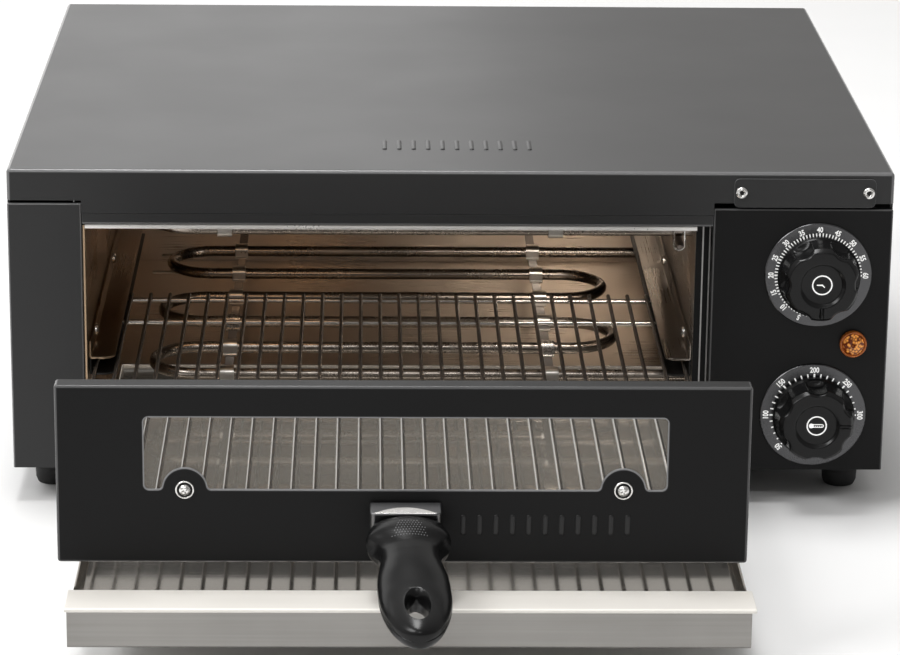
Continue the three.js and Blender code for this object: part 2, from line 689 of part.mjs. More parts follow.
add(body, "switch_housing", switchHousing(), satinBlack());
const rockerGroup = new THREE.Group();
rockerGroup.position.set(SIDE, ROCKER.y, ROCKER.z);
rockerGroup.rotation.y = THREE.MathUtils.degToRad(-ROCKER.tilt);
body.add(rockerGroup);
add(rockerGroup, "power_rocker", rocker(), material(0xb01218, 0.3, 0));

// Bush of the supply cord's hole: its two rims hold the rear panel between them.
function cordBush() {
  const r = CORD_OUTLET.bore;
  return turned([
    [r, -4], [11, -4], [11, -1.3], [8, -1.1], [8, 0.3], [11, 0.5], [11, 3], [9, 4.2], [r, 4.2], [r, -4],
  ], 20);
}

const bush = add(body, "cord_bush", cordBush(), rubber());
bush.rotation.x = -Math.PI / 2;
bush.position.set(CORD_OUTLET.x, DEPTH - 2, CORD_OUTLET.z);

// ---- rack drawer ----

// A folded panel, open at the back, with a window and a tab round each glass screw.
function doorPanel() {
  const { left, right, bottom, top, flange } = DOOR;
  const shell = cut(
    box(left, right, 0, flange, bottom, top),
    box(left + SHEET, right - SHEET, SHEET, flange + 1, bottom + SHEET, top - SHEET),
  );
  const w = WINDOW;
  const tabs = DOOR_SCREW_X.map((x) => rod("y", -1, 2, w.bottom, x, 10.5, 9));
  const opening = roundedRect(w.bottom, w.top, w.left, w.right, w.corner);
  const hole = cut(extrude("y", -1, 2, opening, 4), ...tabs);
  const screws = DOOR_SCREW_X.map((x) => rod("y", -1, 2, DOOR_SCREW_Z, x, 2.6, 4));
  return cut(shell, hole, ...screws);
}

function doorGlass() {
  const w = WINDOW;
  const lap = 8; // behind the door round the window
  const front = SHEET + GAP;
  const pane = box(w.left - lap, w.right + lap, front, front + 4, w.bottom - lap, w.top + lap - 1);
  return cut(pane, ...DOOR_SCREW_X.map((x) => rod("y", 0, 8, DOOR_SCREW_Z, x, 2.6, 4)));
}

function panHeadScrew() {
  const profile = [[0, -8.5], [2, -8.5], [2, 0], [4.65, 0], [4.4, 1.6], [2.6, 2.7], [0, 2.9]];
  return turnedForward(profile, 14);
}

// A shelf inside the door that carries the front of the rack.
function rackBracket() {
  const { left, right, depth, bottom, top } = SHELF;
  const front = SHEET + GAP;
  const level = RACK_Z - CROSS_DROP - CROSS_WIRE - GAP;
  return join(
    box(left, right, front, front + SHEET, bottom, top),
    box(left, right, front, depth, level - SHEET, level),
  );
}

function wireRack() {
  const pieces = [];
  const [x0, x1] = RACK_X;
  const [y0, y1] = RACK_Y;
  for (let i = 0; i < RACK_COUNT; i++) {
    const x = x0 + ((x1 - x0) * i) / (RACK_COUNT - 1);
    pieces.push(extrude("y", y0, y1, polygon(6, RACK_Z, x, WIRE)));
  }
  const crossZ = RACK_Z - CROSS_DROP;
  for (const y of CROSS_WIRE_Y) {
    pieces.push(extrude("x", x0 - 1.6, x1 + 1.6, polygon(4, y, crossZ, CROSS_WIRE)));
  }
  return join(...pieces);
}

// A regular section for a wire, with a corner pointing along its first direction.
function polygon(sides, a, b, r) {
  const points = [];
  for (let i = 0; i < sides; i++) {
    const turn = (2 * Math.PI * i) / sides;
    points.push([a + r * Math.cos(turn), b + r * Math.sin(turn)]);
  }
  return outline(points);
}

// The bracket's front face is square to the drooping handle.
function handleBracket() {
  const a = THREE.MathUtils.degToRad(HANDLE_DROOP);
  const reach = HANDLE_START - 6 * GAP; // clear of the leaning grip
  const { halfWidth, below, above } = HANDLE_BRACKET;
  const front = (up) => {
    const y = -reach * Math.cos(a) - up * Math.sin(a);
    return [y, HANDLE_Z - reach * Math.sin(a) + up * Math.cos(a)];
  };
  const side = [[-GAP, HANDLE_Z - below], [-GAP, HANDLE_Z + above], front(10.2), front(-8)];
  return extrude("x", HANDLE_X - halfWidth, HANDLE_X + halfWidth, outline(side));
}

// Half width and half thickness of the handle along its length: guard, neck, palm swell, end.
const HANDLE_SECTIONS = [
  [0, 18.6, 10.6], [4, 20.4, 11.2], [8, 20.2, 11.2], [13, 18.2, 10.4], [18, 15.4, 9.4], [23, 14.4, 9],
  [29, 14.8, 8.8], [37, 16.4, 8.6], [46, 17.3, 8.3], [58, 17.3, 8], [68, 16.2, 7.6], [77, 13.8, 7],
  [84, 10.4, 6], [89, 6.4, 4.6], [92, 3, 3],
];

function doorHandle() {
  const sides = 16;
  const position = [];
  const index = [];
  for (const [t, halfWidth, halfThick] of HANDLE_SECTIONS) {
    for (let s = 0; s < sides; s++) {
      const a = (2 * Math.PI * (s + 0.5)) / sides;
      position.push(halfWidth * Math.cos(a), -t, halfThick * Math.sin(a));
    }
  }
  const rings = HANDLE_SECTIONS.length;
  for (let k = 0; k + 1 < rings; k++) {
    for (let s = 0; s < sides; s++) {
      const a = k * sides + s;
      const b = k * sides + ((s + 1) % sides);
      index.push(a, b + sides, b, a, a + sides, b + sides);
    }
  }
  const last = (rings - 1) * sides;
  for (let s = 1; s + 1 < sides; s++) {
    index.push(0, s, s + 1, last, last + s + 1, last + s);
  }
  const g = new THREE.BufferGeometry();
  g.setAttribute("position", new THREE.Float32BufferAttribute(position, 3));
  g.setIndex(index);
  const { along, halfWidth, halfLength } = HANDLE_EYE;
  const eye = new THREE.Shape().absellipse(0, -along, halfWidth, halfLength, 0, 2 * Math.PI);
  return cut(solid(g), extrude("z", -15, 15, eye, 8));
}

add(rackDrawer, "door_panel", doorPanel(), satinBlack());
add(rackDrawer, "door_glass", doorGlass(), clearGlass());
for (const [side, x] of [["left", DOOR_SCREW_X[0]], ["right", DOOR_SCREW_X[1]]]) {
  const screw = add(rackDrawer, `door_screw_${side}`, panHeadScrew(), brightSteel());
  screw.position.set(x, -GAP, DOOR_SCREW_Z);
}
add(rackDrawer, "rack_bracket", rackBracket(), stainless());
add(rackDrawer, "wire_rack", wireRack(), brightSteel());
add(rackDrawer, "handle_bracket", handleBracket(), material(0x4c4c4e, 0.4, 0.6));
const handleGroup = new THREE.Group();
handleGroup.position.set(HANDLE_X, 0, HANDLE_Z);
const droop = THREE.MathUtils.degToRad(HANDLE_DROOP);
const lean = THREE.MathUtils.degToRad(HANDLE_LEAN);
handleGroup.rotation.set(droop, 0, lean, "ZXY");
rackDrawer.add(handleGroup);
add(handleGroup, "door_handle", doorHandle(), phenolic()).position.y = -HANDLE_START;

// ---- crumb tray ----

// A shallow pan with low walls, open at the front.
function trayPan() {
  const { left, right, wall } = PAN;
  const { bottom, back } = TRAY;
  return cut(
    box(left, right, 9.3, back, bottom, bottom + wall),
    box(left + SHEET, right - SHEET, 0, back - SHEET, bottom + SHEET, bottom + wall + 1),
  );
}

// The front: a broad lip over an upright face with a folded bottom edge.
function trayFront() {
  const { left, right, bottom, top, lip } = TRAY;
  const shape = outline([
    [0, bottom], [0, top - 1], [0.4, top - 0.3], [1.2, top], [lip, top + 0.6], [lip, top - SHEET + 0.6],
    [SHEET, top - SHEET], [SHEET, bottom + SHEET], [9, bottom + SHEET], [9, bottom],
  ]);
  return extrude("x", left, right, shape);
}

add(crumbTray, "tray_pan", trayPan(), stainless());
add(crumbTray, "tray_front", trayFront(), stainless());

// ---- origin at the bottom centre of the whole oven ----

const extent = new THREE.Box3().setFromObject(root, true);
const centre = extent.getCenter(new THREE.Vector3());
root.position.set(-centre.x, -centre.y, -extent.min.z);

const oven = new THREE.Group();
oven.name = "pizza_oven";
oven.add(root);
export default oven;
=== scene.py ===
"""The looks of a countertop pizza oven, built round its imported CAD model.

Shapes are drawn in millimetres in the row frame and scaled to metres when a piece is made. Their
places start from the boxes of the CAD nodes. The camera and the lights are placed in metres.
"""
import math

import bmesh
import bpy
from mathutils import Matrix, Vector


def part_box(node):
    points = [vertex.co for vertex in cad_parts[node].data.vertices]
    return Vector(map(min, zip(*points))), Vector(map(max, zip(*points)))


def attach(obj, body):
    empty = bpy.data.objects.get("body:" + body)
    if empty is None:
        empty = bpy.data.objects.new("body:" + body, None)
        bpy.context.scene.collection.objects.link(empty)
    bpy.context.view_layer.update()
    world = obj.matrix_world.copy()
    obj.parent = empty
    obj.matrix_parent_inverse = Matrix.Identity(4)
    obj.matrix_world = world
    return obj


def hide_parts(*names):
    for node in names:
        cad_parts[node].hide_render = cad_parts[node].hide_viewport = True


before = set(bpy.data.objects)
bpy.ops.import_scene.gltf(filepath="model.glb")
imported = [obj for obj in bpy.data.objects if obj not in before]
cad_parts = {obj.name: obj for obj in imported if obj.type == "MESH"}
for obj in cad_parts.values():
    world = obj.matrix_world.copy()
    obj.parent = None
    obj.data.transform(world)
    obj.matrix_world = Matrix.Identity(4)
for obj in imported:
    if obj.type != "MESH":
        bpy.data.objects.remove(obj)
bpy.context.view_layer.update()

MM = 0.001
SHEET = 1.2    # thickness of the panels
GAP = 0.3      # left between parts that touch
BODY, DRAWER, TRAY = "oven_body", "rack_drawer", "crumb_tray"
DIM, BRIGHT = 0.28, 0.66    # strengths of the surround
BRIGHT_SIDE = (-0.55, 0.75, 0.37)
scene = bpy.context.scene


class Cad:
    """The box of a CAD node in millimetres: x0 to x1, y0 to y1, z0 to z1, and its centre x, y, z."""

    def __init__(self, node):
        low, high = (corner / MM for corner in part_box(node))
        self.x0, self.y0, self.z0 = low
        self.x1, self.y1, self.z1 = high
        self.x, self.y, self.z = (low + high) / 2


# ---- camera, light and floor ----

def make_camera():
    """The photograph's view: a long lens from in front and above, turned and rolled a little."""
    data = bpy.data.cameras.new("camera")
    data.lens = 145.28
    data.sensor_width = 36
    camera = bpy.data.objects.new("camera", data)
    scene.collection.objects.link(camera)
    down, right, roll = math.radians(17.237), math.radians(1.4026), math.radians(0.6194)
    look = Vector((math.sin(right) * math.cos(down), math.cos(right) * math.cos(down), -math.sin(down)))
    level = Vector((math.cos(right), -math.sin(right), 0))
    above = level.cross(look)
    across = math.cos(roll) * level + math.sin(roll) * above
    upright = math.cos(roll) * above - math.sin(roll) * level
    turn = Matrix((across, upright, -look)).transposed().to_4x4()
    place = (-0.04963, -1.9360, 0.6899)
    camera.matrix_world = Matrix.Translation(place) @ turn
    scene.camera = camera


class Graph:
    """Adds shader nodes to a material or a world."""

    def __init__(self, owner):
        owner.use_nodes = True
        self.nodes = owner.node_tree.nodes
        self.links = owner.node_tree.links

    def feed(self, node, inputs):
        """Sets inputs, by name or number, to values, or links them to other nodes' outputs."""
        for socket, value in inputs.items():
            if isinstance(value, bpy.types.NodeSocket):
                self.links.new(value, node.inputs[socket])
            else:
                node.inputs[socket].default_value = value

    def add(self, kind, inputs, **settings):
        node = self.nodes.new("ShaderNode" + kind)
        for key, value in settings.items():
            setattr(node, key, value)
        self.feed(node, inputs)
        return node

    def place(self, output):
        return self.add("TexCoord", {}).outputs[output]

    def vector(self, operation, *values):
        return self.add("VectorMath", dict(enumerate(values)), operation=operation)

    def math(self, operation, *values, **settings):
        return self.add("Math", dict(enumerate(values)), operation=operation, **settings).outputs[0]

    def remap(self, value, low, high, new_low=0, new_high=1, **settings):
        inputs = {"Value": value, "From Min": low, "From Max": high, "To Min": new_low, "To Max": new_high}
        return self.add("MapRange", inputs, **settings).outputs["Result"]

    def mix(self, factor, a, b, kind="RGBA"):
        return self.add("Mix", {"Factor": factor, "A": a, "B": b}, data_type=kind).outputs["Result"]

    def bump(self, height, strength, distance):
        inputs = {"Height": height, "Strength": strength, "Distance": distance}
        return self.add("Bump", inputs).outputs["Normal"]


def area_light(name, place, target, size, power, colour=(1, 1, 1)):
    data = bpy.data.lights.new(name, "AREA")
    data.shape = "RECTANGLE"
    data.size, data.size_y = size
    data.energy = power
    data.color = colour
    light = bpy.data.objects.new(name, data)
    scene.collection.objects.link(light)
    light.location = place
    light.visible_camera = False
    light.rotation_euler = (Vector(target) - Vector(place)).to_track_quat("-Z", "Y").to_euler()


def make_world():
    """A pale surround that is brighter towards one side."""
    world = bpy.data.worlds.new("studio")
    scene.world = world
    graph = Graph(world)
    towards = graph.vector("DOT_PRODUCT", graph.place("Generated"), BRIGHT_SIDE).outputs["Value"]
    strength = graph.remap(towards, -0.7, 0.9, DIM, BRIGHT, interpolation_type="SMOOTHSTEP")
    graph.feed(graph.nodes["Background"], {"Color": (1.0, 0.985, 0.965, 1), "Strength": strength})


def make_lights():
    """Softboxes round the oven, small lights inside its mouth, and some between element and floor."""
    area_light("key", (-1.6, -1.1, 1.9), (0, 0, 0.05), (1.0, 0.9), 27)
    area_light("top", (-0.25, 0.1, 2.2), (0, 0, 0), (1.1, 0.6), 32)
    area_light("back", (-0.9, 1.6, 0.95), (0.15, 0.1, 0.2), (2.6, 1.5), 11)
    area_light("front", (-0.1, -2.2, 2.2), (0, 0, 0.1), (1.2, 0.3), 8)
    area_light("mouth_left", (-0.12, 0.02, 0.148), (-0.14, 0.3, 0.05), (0.10, 0.012), 0.014, (1, 0.62, 0.34))
    area_light("mouth_right", (0.08, 0.02, 0.148), (0.10, 0.34, 0.08), (0.09, 0.012), 0.075, (1, 0.94, 0.87))
    y, depth, ivory = 0.02, 0.21, (1, 0.93, 0.84)
    strips = ((-0.03, 0.31, 0.05), (-0.165, 0.05, 0.03), (0.085, 0.08, 0.05), (0.05, 0.04, 0.06))
    for x, width, power in strips:
        area_light("under_element", (x, y, 0.050), (x, y, 0), (width, depth), power, ivory)


def make_floor():
    """The pale paper that the oven stands on."""
    bm = bmesh.new()
    bmesh.ops.create_grid(bm, x_segments=8, y_segments=8, size=6)
    mesh = bpy.data.meshes.new("floor")
    bm.to_mesh(mesh)
    bm.free()
    floor = bpy.data.objects.new("floor", mesh)
    scene.collection.objects.link(floor)
    mesh.materials.append(surface("floor_paper", (0.80, 0.80, 0.80), roughness=0.8, tint=0.01))


# ---- materials ----

def surface(name, colour, metallic=0.0, roughness=0.4, tint=0.08, spread=0.04, grain=(700, 700, 700),
            bump=0.05, relief=0.02, patch=14, edge=None, **fixed):
    """A procedural finish: patches vary its colour and roughness, and a fine grain roughens it.

    grain is how many grains a metre holds along each axis, so that unequal numbers brush it.
    relief is the grain's height in millimetres. edge is the roughness of the folds of painted
    sheet, whose colour is also made paler there as a painted highlight, and fixed sets the shader's
    own sockets.
    """
    made = bpy.data.materials.new(name)
    made.diffuse_color = (*colour, 1)
    graph = Graph(made)
    shader = graph.nodes["Principled BSDF"]
    graph.feed(shader, {"Metallic": metallic})
    graph.feed(shader, {socket.replace("_", " "): value for socket, value in fixed.items()})
    place = graph.place("Object")

    def noise(scale, detail):
        scaled = graph.add("Mapping", {"Vector": place, "Scale": scale}).outputs["Vector"]
        return graph.add("TexNoise", {"Vector": scaled, "Scale": 1, "Detail": detail}).outputs["Fac"]

    grains = noise(grain, 2)
    patches = noise((patch, patch, patch), 3)
    blend = graph.math("ADD", patches, graph.math("MULTIPLY_ADD", grains, 0.5, -0.25), use_clamp=True)
    dark = (*(c * (1 - tint) for c in colour), 1)
    light = (*(min(1, c * (1 + tint)) for c in colour), 1)
    shade = graph.mix(blend, dark, light)
    rough = graph.remap(blend, 0.3, 0.7, max(0.02, roughness - spread), roughness + spread)
    if edge:
        flat = flatness(graph)
        # painted highlight: the folds get a paler colour than the flat faces
        fold_highlight_colour = (*(min(1.0, 0.05 + 4.5 * c) for c in colour), 1)
        shade = graph.mix(flat, fold_highlight_colour, shade)
        rough = graph.mix(flat, edge, rough, "FLOAT")
    normal = graph.bump(grains, bump, relief * MM)
    graph.feed(shader, {"Base Color": shade, "Roughness": rough, "Normal": normal})
    return made


def flatness(graph):
    """1 where a surface faces along one of the axes, falling to 0 on a rounded fold."""
    size = graph.vector("ABSOLUTE", graph.place("Normal")).outputs["Vector"]
    x, y, z = graph.add("SeparateXYZ", {"Vector": size}).outputs
    largest = graph.math("MAXIMUM", graph.math("MAXIMUM", x, y), z)
    return graph.remap(largest, 0.95, 0.998)


def brushed(name, colour, along, roughness=0.3, metallic=1.0, relief=0.03, tint=0.12, fine=1300, bump=0.5):
    """Steel brushed along one axis."""
    grain = tuple(7 if axis == along else fine for axis in "xyz")
    return surface(name, colour, metallic, roughness, tint=tint, spread=0.05, grain=grain,
                   bump=bump, relief=relief)


def jewel():
    """Moulded amber: bright grains in a dark honeycomb, lit a little from inside."""
    made = surface("amber_jewel", (0.8, 0.25, 0.03), 0, 0.18, bump=0.1, Emission_Strength=0.3)
    graph = Graph(made)
    cells = graph.add("TexVoronoi", {"Vector": graph.place("Object"), "Scale": 640})
    ramp = graph.add("ValToRGB", {"Fac": cells.outputs["Distance"]})
    grain, gap = ramp.color_ramp.elements
    grain.position, grain.color = 0.16, (1.0, 0.40, 0.07, 1)
    gap.position, gap.color = 0.66, (0.10, 0.014, 0.002, 1)
    colour = ramp.outputs["Color"]
    graph.feed(graph.nodes["Principled BSDF"], {"Base Color": colour, "Emission Color": colour})
    return made


def heated_wire():
    """Plated wire, pale on the faces turned left near the door, with painted shade on its other faces and
    further back inside the oven.
    """
    made = surface("rack_wire", (0.5, 0.48, 0.45), 0.5, 0.17, tint=0.15)
    graph = Graph(made)
    back = graph.add("SeparateXYZ", {"Vector": graph.place("Object")}).outputs["Y"]
    down_right = graph.vector("DOT_PRODUCT", graph.place("Normal"), (0.95, 0, -0.3)).outputs["Value"]
    # painted shade: the colour darkens further back inside the oven and on faces turned away from the left
    deep_shade = graph.remap(back, -0.12, -0.05)
    side_shade = graph.remap(down_right, -0.66, -0.48)
    plated, shade_colour = (0.90, 0.88, 0.84, 1), (0.07, 0.06, 0.052, 1)
    colour = graph.mix(graph.math("MAXIMUM", deep_shade, side_shade), plated, shade_colour)
    graph.feed(graph.nodes["Principled BSDF"], {"Base Color": colour})
    return made


def spun(name, centre):
    """Black anodised metal turned on a lathe: fine rings round a dial's centre catch the light."""
    made = surface(name, (0.095, 0.095, 0.098), 1, 0.26, tint=0.05, spread=0.02, bump=0.1)
    graph = Graph(made)
    centred = graph.vector("SUBTRACT", graph.place("Object"), centre).outputs["Vector"]
    rings = graph.add("TexWave", {"Vector": centred, "Scale": 620, "Distortion": 0.6},
                      wave_type="RINGS", rings_direction="Y")
    normal = graph.bump(rings.outputs["Fac"], 0.7, 0.02 * MM)
    graph.feed(graph.nodes["Principled BSDF"], {"Normal": normal})
    return made


LOOKS = {}
SHEET_FINISHES = ("cover_paint", "panel_paint", "tray_steel", "tray_lip", "handle_steel")


def finish(name, *values, **settings):
    LOOKS[name] = surface(name, *values, **settings)


def make_materials():
    """Every finish: its colour, how metallic and how rough it is, then whatever else sets it apart."""
    finish("cover_paint", (0.022, 0.022, 0.0225), 0, 0.36, bump=0.12, relief=0.03, tint=0.04,
           spread=0.015, grain=(1400, 1400, 1400), edge=0.13, Specular_IOR_Level=0.32)
    finish("panel_paint", (0.008, 0.008, 0.0082), 0, 0.4, bump=0.12, relief=0.03,
           grain=(1400, 1400, 1400), edge=0.16, Specular_IOR_Level=0.14)
    finish("bead_paint", (0.016, 0.016, 0.0163), 0, 0.34, bump=0.1, relief=0.03, Specular_IOR_Level=0.3)
    LOOKS["liner_x"] = brushed("liner_steel_x", (0.60, 0.52, 0.44), "x")
    LOOKS["liner_y"] = brushed("liner_steel_y", (0.36, 0.32, 0.28), "y")
    LOOKS["liner_warm"] = brushed("liner_steel_warm", (0.44, 0.32, 0.21), "y")
    finish("clip_steel", (0.70, 0.66, 0.61), 1, 0.3, tint=0.15)
    finish("clip_strip", (0.20, 0.17, 0.15), 1, 0.34, tint=0.15)
    finish("tab_steel", (0.80, 0.74, 0.64), 0.3, 0.4, tint=0.1)
    LOOKS["tray_steel"] = brushed("tray_steel", (0.295, 0.285, 0.27), "x", 0.34, tint=0.28, fine=520)
    LOOKS["tray_pan"] = brushed("tray_pan_steel", (0.41, 0.39, 0.36), "x", 0.08, 0.92, relief=0.01,
                                fine=900, bump=0.1)
    LOOKS["tray_lip"] = brushed("tray_lip_steel", (0.80, 0.77, 0.72), "x", 0.5, 0.12, tint=0.05)
    finish("bright_steel", (0.86, 0.85, 0.83), 1, 0.26, tint=0.05)
    finish("mouth_lip", (0.92, 0.90, 0.87), 0.55, 0.3, tint=0.05)
    # near black: the painted shade of the slots in the rails
    finish("slot_shade_black", (0.01, 0.009, 0.008), 0.2, 0.45)
    LOOKS["rack_wire"] = heated_wire()
    finish("rack_bright", (0.66, 0.63, 0.60), 1, 0.2, tint=0.1)
    finish("element_sheath", (0.36, 0.315, 0.275), 1, 0.27, tint=0.25, patch=30)
    finish("rubber", (0.012, 0.012, 0.012), 0, 0.7, bump=0.3, relief=0.05)
    finish("ceramic", (0.75, 0.70, 0.62), 0, 0.55, tint=0.06, bump=0.1)
    finish("phenolic", (0.0055, 0.0055, 0.0057), 0, 0.25, bump=0.02, relief=0.01, tint=0.03,
           spread=0.01, Specular_IOR_Level=0.25)
    finish("grip_dots", (0.17, 0.17, 0.175), 0, 0.5, bump=0.06)
    LOOKS["handle_steel"] = brushed("handle_steel", (0.16, 0.16, 0.164), "x", 0.32)
    # pale strips: painted highlights on the edges of the trim channel
    finish("trim_highlight_steel", (0.42, 0.41, 0.40), 0.7, 0.35)
    # pale grey: a painted highlight on the cut edge of the window
    finish("window_rim_highlight", (0.24, 0.24, 0.245), 0.6, 0.4)
    finish("control_case", (0.5, 0.47, 0.42), 0.1, 0.5, bump=0.1)
    LOOKS["amber_lens"] = jewel()
    finish("amber_rim", (0.42, 0.11, 0.015), 0, 0.16, tint=0.5, patch=260)
    finish("switch_black", (0.01, 0.01, 0.01), 0, 0.35, bump=0.1)
    finish("rocker_red", (0.42, 0.008, 0.01), 0, 0.25, tint=0.1, bump=0.04)
    finish("window_glass", (0.30, 0.32, 0.31), 0, 0.04, tint=0.05, spread=0.02, bump=0.01, Alpha=0.06)
    # white print with a faint glow: painted light on a part that is no lamp
    finish("print_with_painted_glow", (0.8, 0.8, 0.79), 0, 0.5, tint=0.04, Emission_Color=(1, 1, 0.98, 1),
           Emission_Strength=0.38)
    # near black: painted shade inside rivet bores and in the grooves round screw heads
    finish("hole_shade_black", (0.004, 0.004, 0.004), 0, 0.8)


# ---- drawing ----

def axes(x, y, z):
    """The turn that takes a drawing's own axes to these."""
    return Matrix((x, y, z)).transposed().to_4x4()


def turned(angle, axis="Z"):
    return Matrix.Rotation(angle, 4, axis)


FORWARD = axes((1, 0, 0), (0, 0, 1), (0, -1, 0))    # drawn on the front: right, up, towards the viewer
SIDEWAYS = axes((0, 1, 0), (0, 0, 1), (1, 0, 0))    # drawn on the right side: back, up, out
BACKWARD = axes((-1, 0, 0), (0, 0, 1), (0, 1, 0))    # drawn on the back
UPWARD = Matrix.Identity(4)


def at(x, y, z, turn=FORWARD):
    return Matrix.Translation((x, y, z)) @ turn


def outline(*corners, radius=0.0, steps=5, closed=True):
    """A plane outline through (x, y) or (x, y, radius) corners, with an arc at each rounded one."""
    points = []
    last = len(corners) - 1
    for i, (x, y, *own) in enumerate(corners):
        here = Vector((x, y))
        r = own[0] if own else radius
        if r <= 0 or (not closed and i in (0, last)):
            points.append(here)
            continue
        before = (Vector(corners[i - 1][:2]) - here).normalized()
        after = (Vector(corners[(i + 1) % (last + 1)][:2]) - here).normalized()
        half = before.angle(after) / 2
        centre = here + (before + after).normalized() * (r / math.sin(half))
        start = here + before * (r / math.tan(half)) - centre
        end = here + after * (r / math.tan(half)) - centre
        sweep_angle = math.atan2(start.x * end.y - start.y * end.x, start.dot(end))
        for k in range(steps + 1):
            points.append(centre + Matrix.Rotation(sweep_angle * k / steps, 2) @ start)
    return points


def rectangle(x0, x1, y0, y1, radius, steps=5):
    return outline((x0, y0), (x1, y0), (x1, y1), (x0, y1), radius=radius, steps=steps)


def arc(x, y, r, start, end, steps=6):
    """Points on an arc round (x, y) between two angles in degrees."""
    turns = (math.radians(start + (end - start) * k / steps) for k in range(steps + 1))
    return [Vector((x + r * math.cos(a), y + r * math.sin(a))) for a in turns]


def circle(x, y, r, sides=32):
    turns = (2 * math.pi * i / sides for i in range(sides))
    return [Vector((x + r * math.cos(a), y + r * math.sin(a))) for a in turns]


def strip(path, thickness):
    """The outline of a strip of metal whose middle follows a path."""
    left, right = [], []
    for i, p in enumerate(path):
        before = (p - path[i - 1]).normalized() if i else None
        after = (path[i + 1] - p).normalized() if i + 1 < len(path) else None
        along = (before or after) + (after or before)
        along.normalize()
        reach = thickness / 2 / max(0.5, along.dot(after or before))
        side = Vector((-along.y, along.x)) * reach
        left.append(p + side)
        right.append(p - side)
    return left + right[::-1]


def loft(rings, capped=True):
    """Skins rings of points; a ring of one point closes the skin there."""
    bm = bmesh.new()
    rows = [[bm.verts.new(p) for p in ring] for ring in rings]
    for a, b in zip(rows, rows[1:]):
        for i in range(max(len(a), len(b))):
            corners = [a[i % len(a)], a[(i + 1) % len(a)], b[(i + 1) % len(b)], b[i % len(b)]]
            unique = list(dict.fromkeys(corners))
            if len(unique) > 2:
                bm.faces.new(unique)
    if capped:
        for end in (rows[0], rows[-1]):
            if len(end) > 2:
                bm.faces.new(end)
    return bm


def prism(points, low, high, place=UPWARD):
    """An outline carried from one height to another."""
    bm = loft([[(*p, h) for p in points] for h in (low, high)])
    bm.transform(place)
    return bm


def lathe(profile, sides=48, place=UPWARD, ring=False):
    """Turns (radius, height) points about the drawing's own third axis; a ring's profile is closed."""
    rings = []
    for r, h in profile:
        if r < 1e-6:
            rings.append([(0, 0, h)])
        else:
            rings.append([(*p, h) for p in circle(0, 0, r, sides)])
    if ring:
        rings.append(rings[0])
    bm = loft(rings, capped=not ring)
    if ring:
        bmesh.ops.remove_doubles(bm, verts=bm.verts, dist=0.0001)
    bm.transform(place)
    return bm


def bar(path, radius, sides=14, tip=0.3):
    """A round bar along a path of points, with small chamfers at its ends."""
    path = [Vector(p) for p in path]
    first, last = (path[1] - path[0]).normalized(), (path[-1] - path[-2]).normalized()
    stations = [(path[0], radius - tip), (path[0] + first * tip, radius)]
    stations += [(p, radius) for p in path[1:-1]]
    stations += [(path[-1] - last * tip, radius), (path[-1], radius - tip)]
    rings = []
    normal = first.orthogonal()
    for i, (p, r) in enumerate(stations):
        before = stations[max(i - 1, 0)][0]
        ahead = stations[min(i + 1, len(stations) - 1)][0]
        along = (ahead - before).normalized()
        normal = (normal - along * normal.dot(along)).normalized()
        side = along.cross(normal)
        rings.append([p + r * (c.x * normal + c.y * side) for c in circle(0, 0, 1, sides)])
    return loft(rings)


def together(*parts):
    """Several drawings as one, each a closed body of its own."""
    whole = parts[0]
    for part in parts[1:]:
        mesh = bpy.data.meshes.new("part")
        part.to_mesh(mesh)
        part.free()
        whole.from_mesh(mesh)
        bpy.data.meshes.remove(mesh)
    return whole


def work_object(bm, closed=True):
    """A drawing as an object, for a modifier to work on."""
    if closed:
        bmesh.ops.recalc_face_normals(bm, faces=bm.faces)
    mesh = bpy.data.meshes.new("work")
    bm.to_mesh(mesh)
    bm.free()
    made = bpy.data.objects.new("work", mesh)
    scene.collection.objects.link(made)
    return made


def modified(bm, kind, tool=None, closed=True, **settings):
    """The drawing after one of Blender's modifiers; an open sheet keeps the way it faces."""
    work = work_object(bm, closed)
    modifier = work.modifiers.new(kind, kind)
    if tool:
        cutter = work_object(tool)
        modifier.object = cutter
    for key, value in settings.items():
        setattr(modifier, key, value)
    bpy.context.view_layer.update()
    shown = work.evaluated_get(bpy.context.evaluated_depsgraph_get())
    mesh = bpy.data.meshes.new_from_object(shown)
    result = bmesh.new()
    result.from_mesh(mesh)
    bpy.data.meshes.remove(mesh)
    bpy.data.objects.remove(work)
    if tool:
        bpy.data.objects.remove(cutter)
    return result


def cut(bm, tool):
    return modified(bm, "BOOLEAN", tool, operation="DIFFERENCE", solver="EXACT")


def joined(bm, tool):
    return modified(bm, "BOOLEAN", tool, operation="UNION", solver="EXACT")


def eased(bm, width, segments=2, angle=40):
    """Rounds every edge sharper than an angle."""
    return modified(bm, "BEVEL", width=width, segments=segments, limit_method="ANGLE",
                    angle_limit=math.radians(angle), use_clamp_overlap=True)


def folded_sheet(polygons, outward, fold, thickness=SHEET, holes=None, edge=0.2):
    """Sheet metal from flat polygons that share edges: those are folded, and the inside is thickened.

    outward is the direction that the first polygon faces.
    """
    bm = bmesh.new()
    for polygon in polygons:
        bm.faces.new([bm.verts.new(p) for p in polygon])
    bmesh.ops.remove_doubles(bm, verts=bm.verts, dist=0.001)
    bmesh.ops.recalc_face_normals(bm, faces=bm.faces)
    bm.faces.ensure_lookup_table()
    if bm.faces[0].normal.dot(Vector(outward)) < 0:
        bmesh.ops.reverse_faces(bm, faces=bm.faces)
    folds = [e for e in bm.edges if len(e.link_faces) == 2]
    bmesh.ops.bevel(bm, geom=folds, offset=fold, segments=6, profile=0.5, affect="EDGES")
    result = modified(bm, "SOLIDIFY", closed=False, thickness=thickness, offset=-1, use_even_offset=True)
    if holes:
        result = cut(result, holes)
    return eased(result, edge, 2, 50)


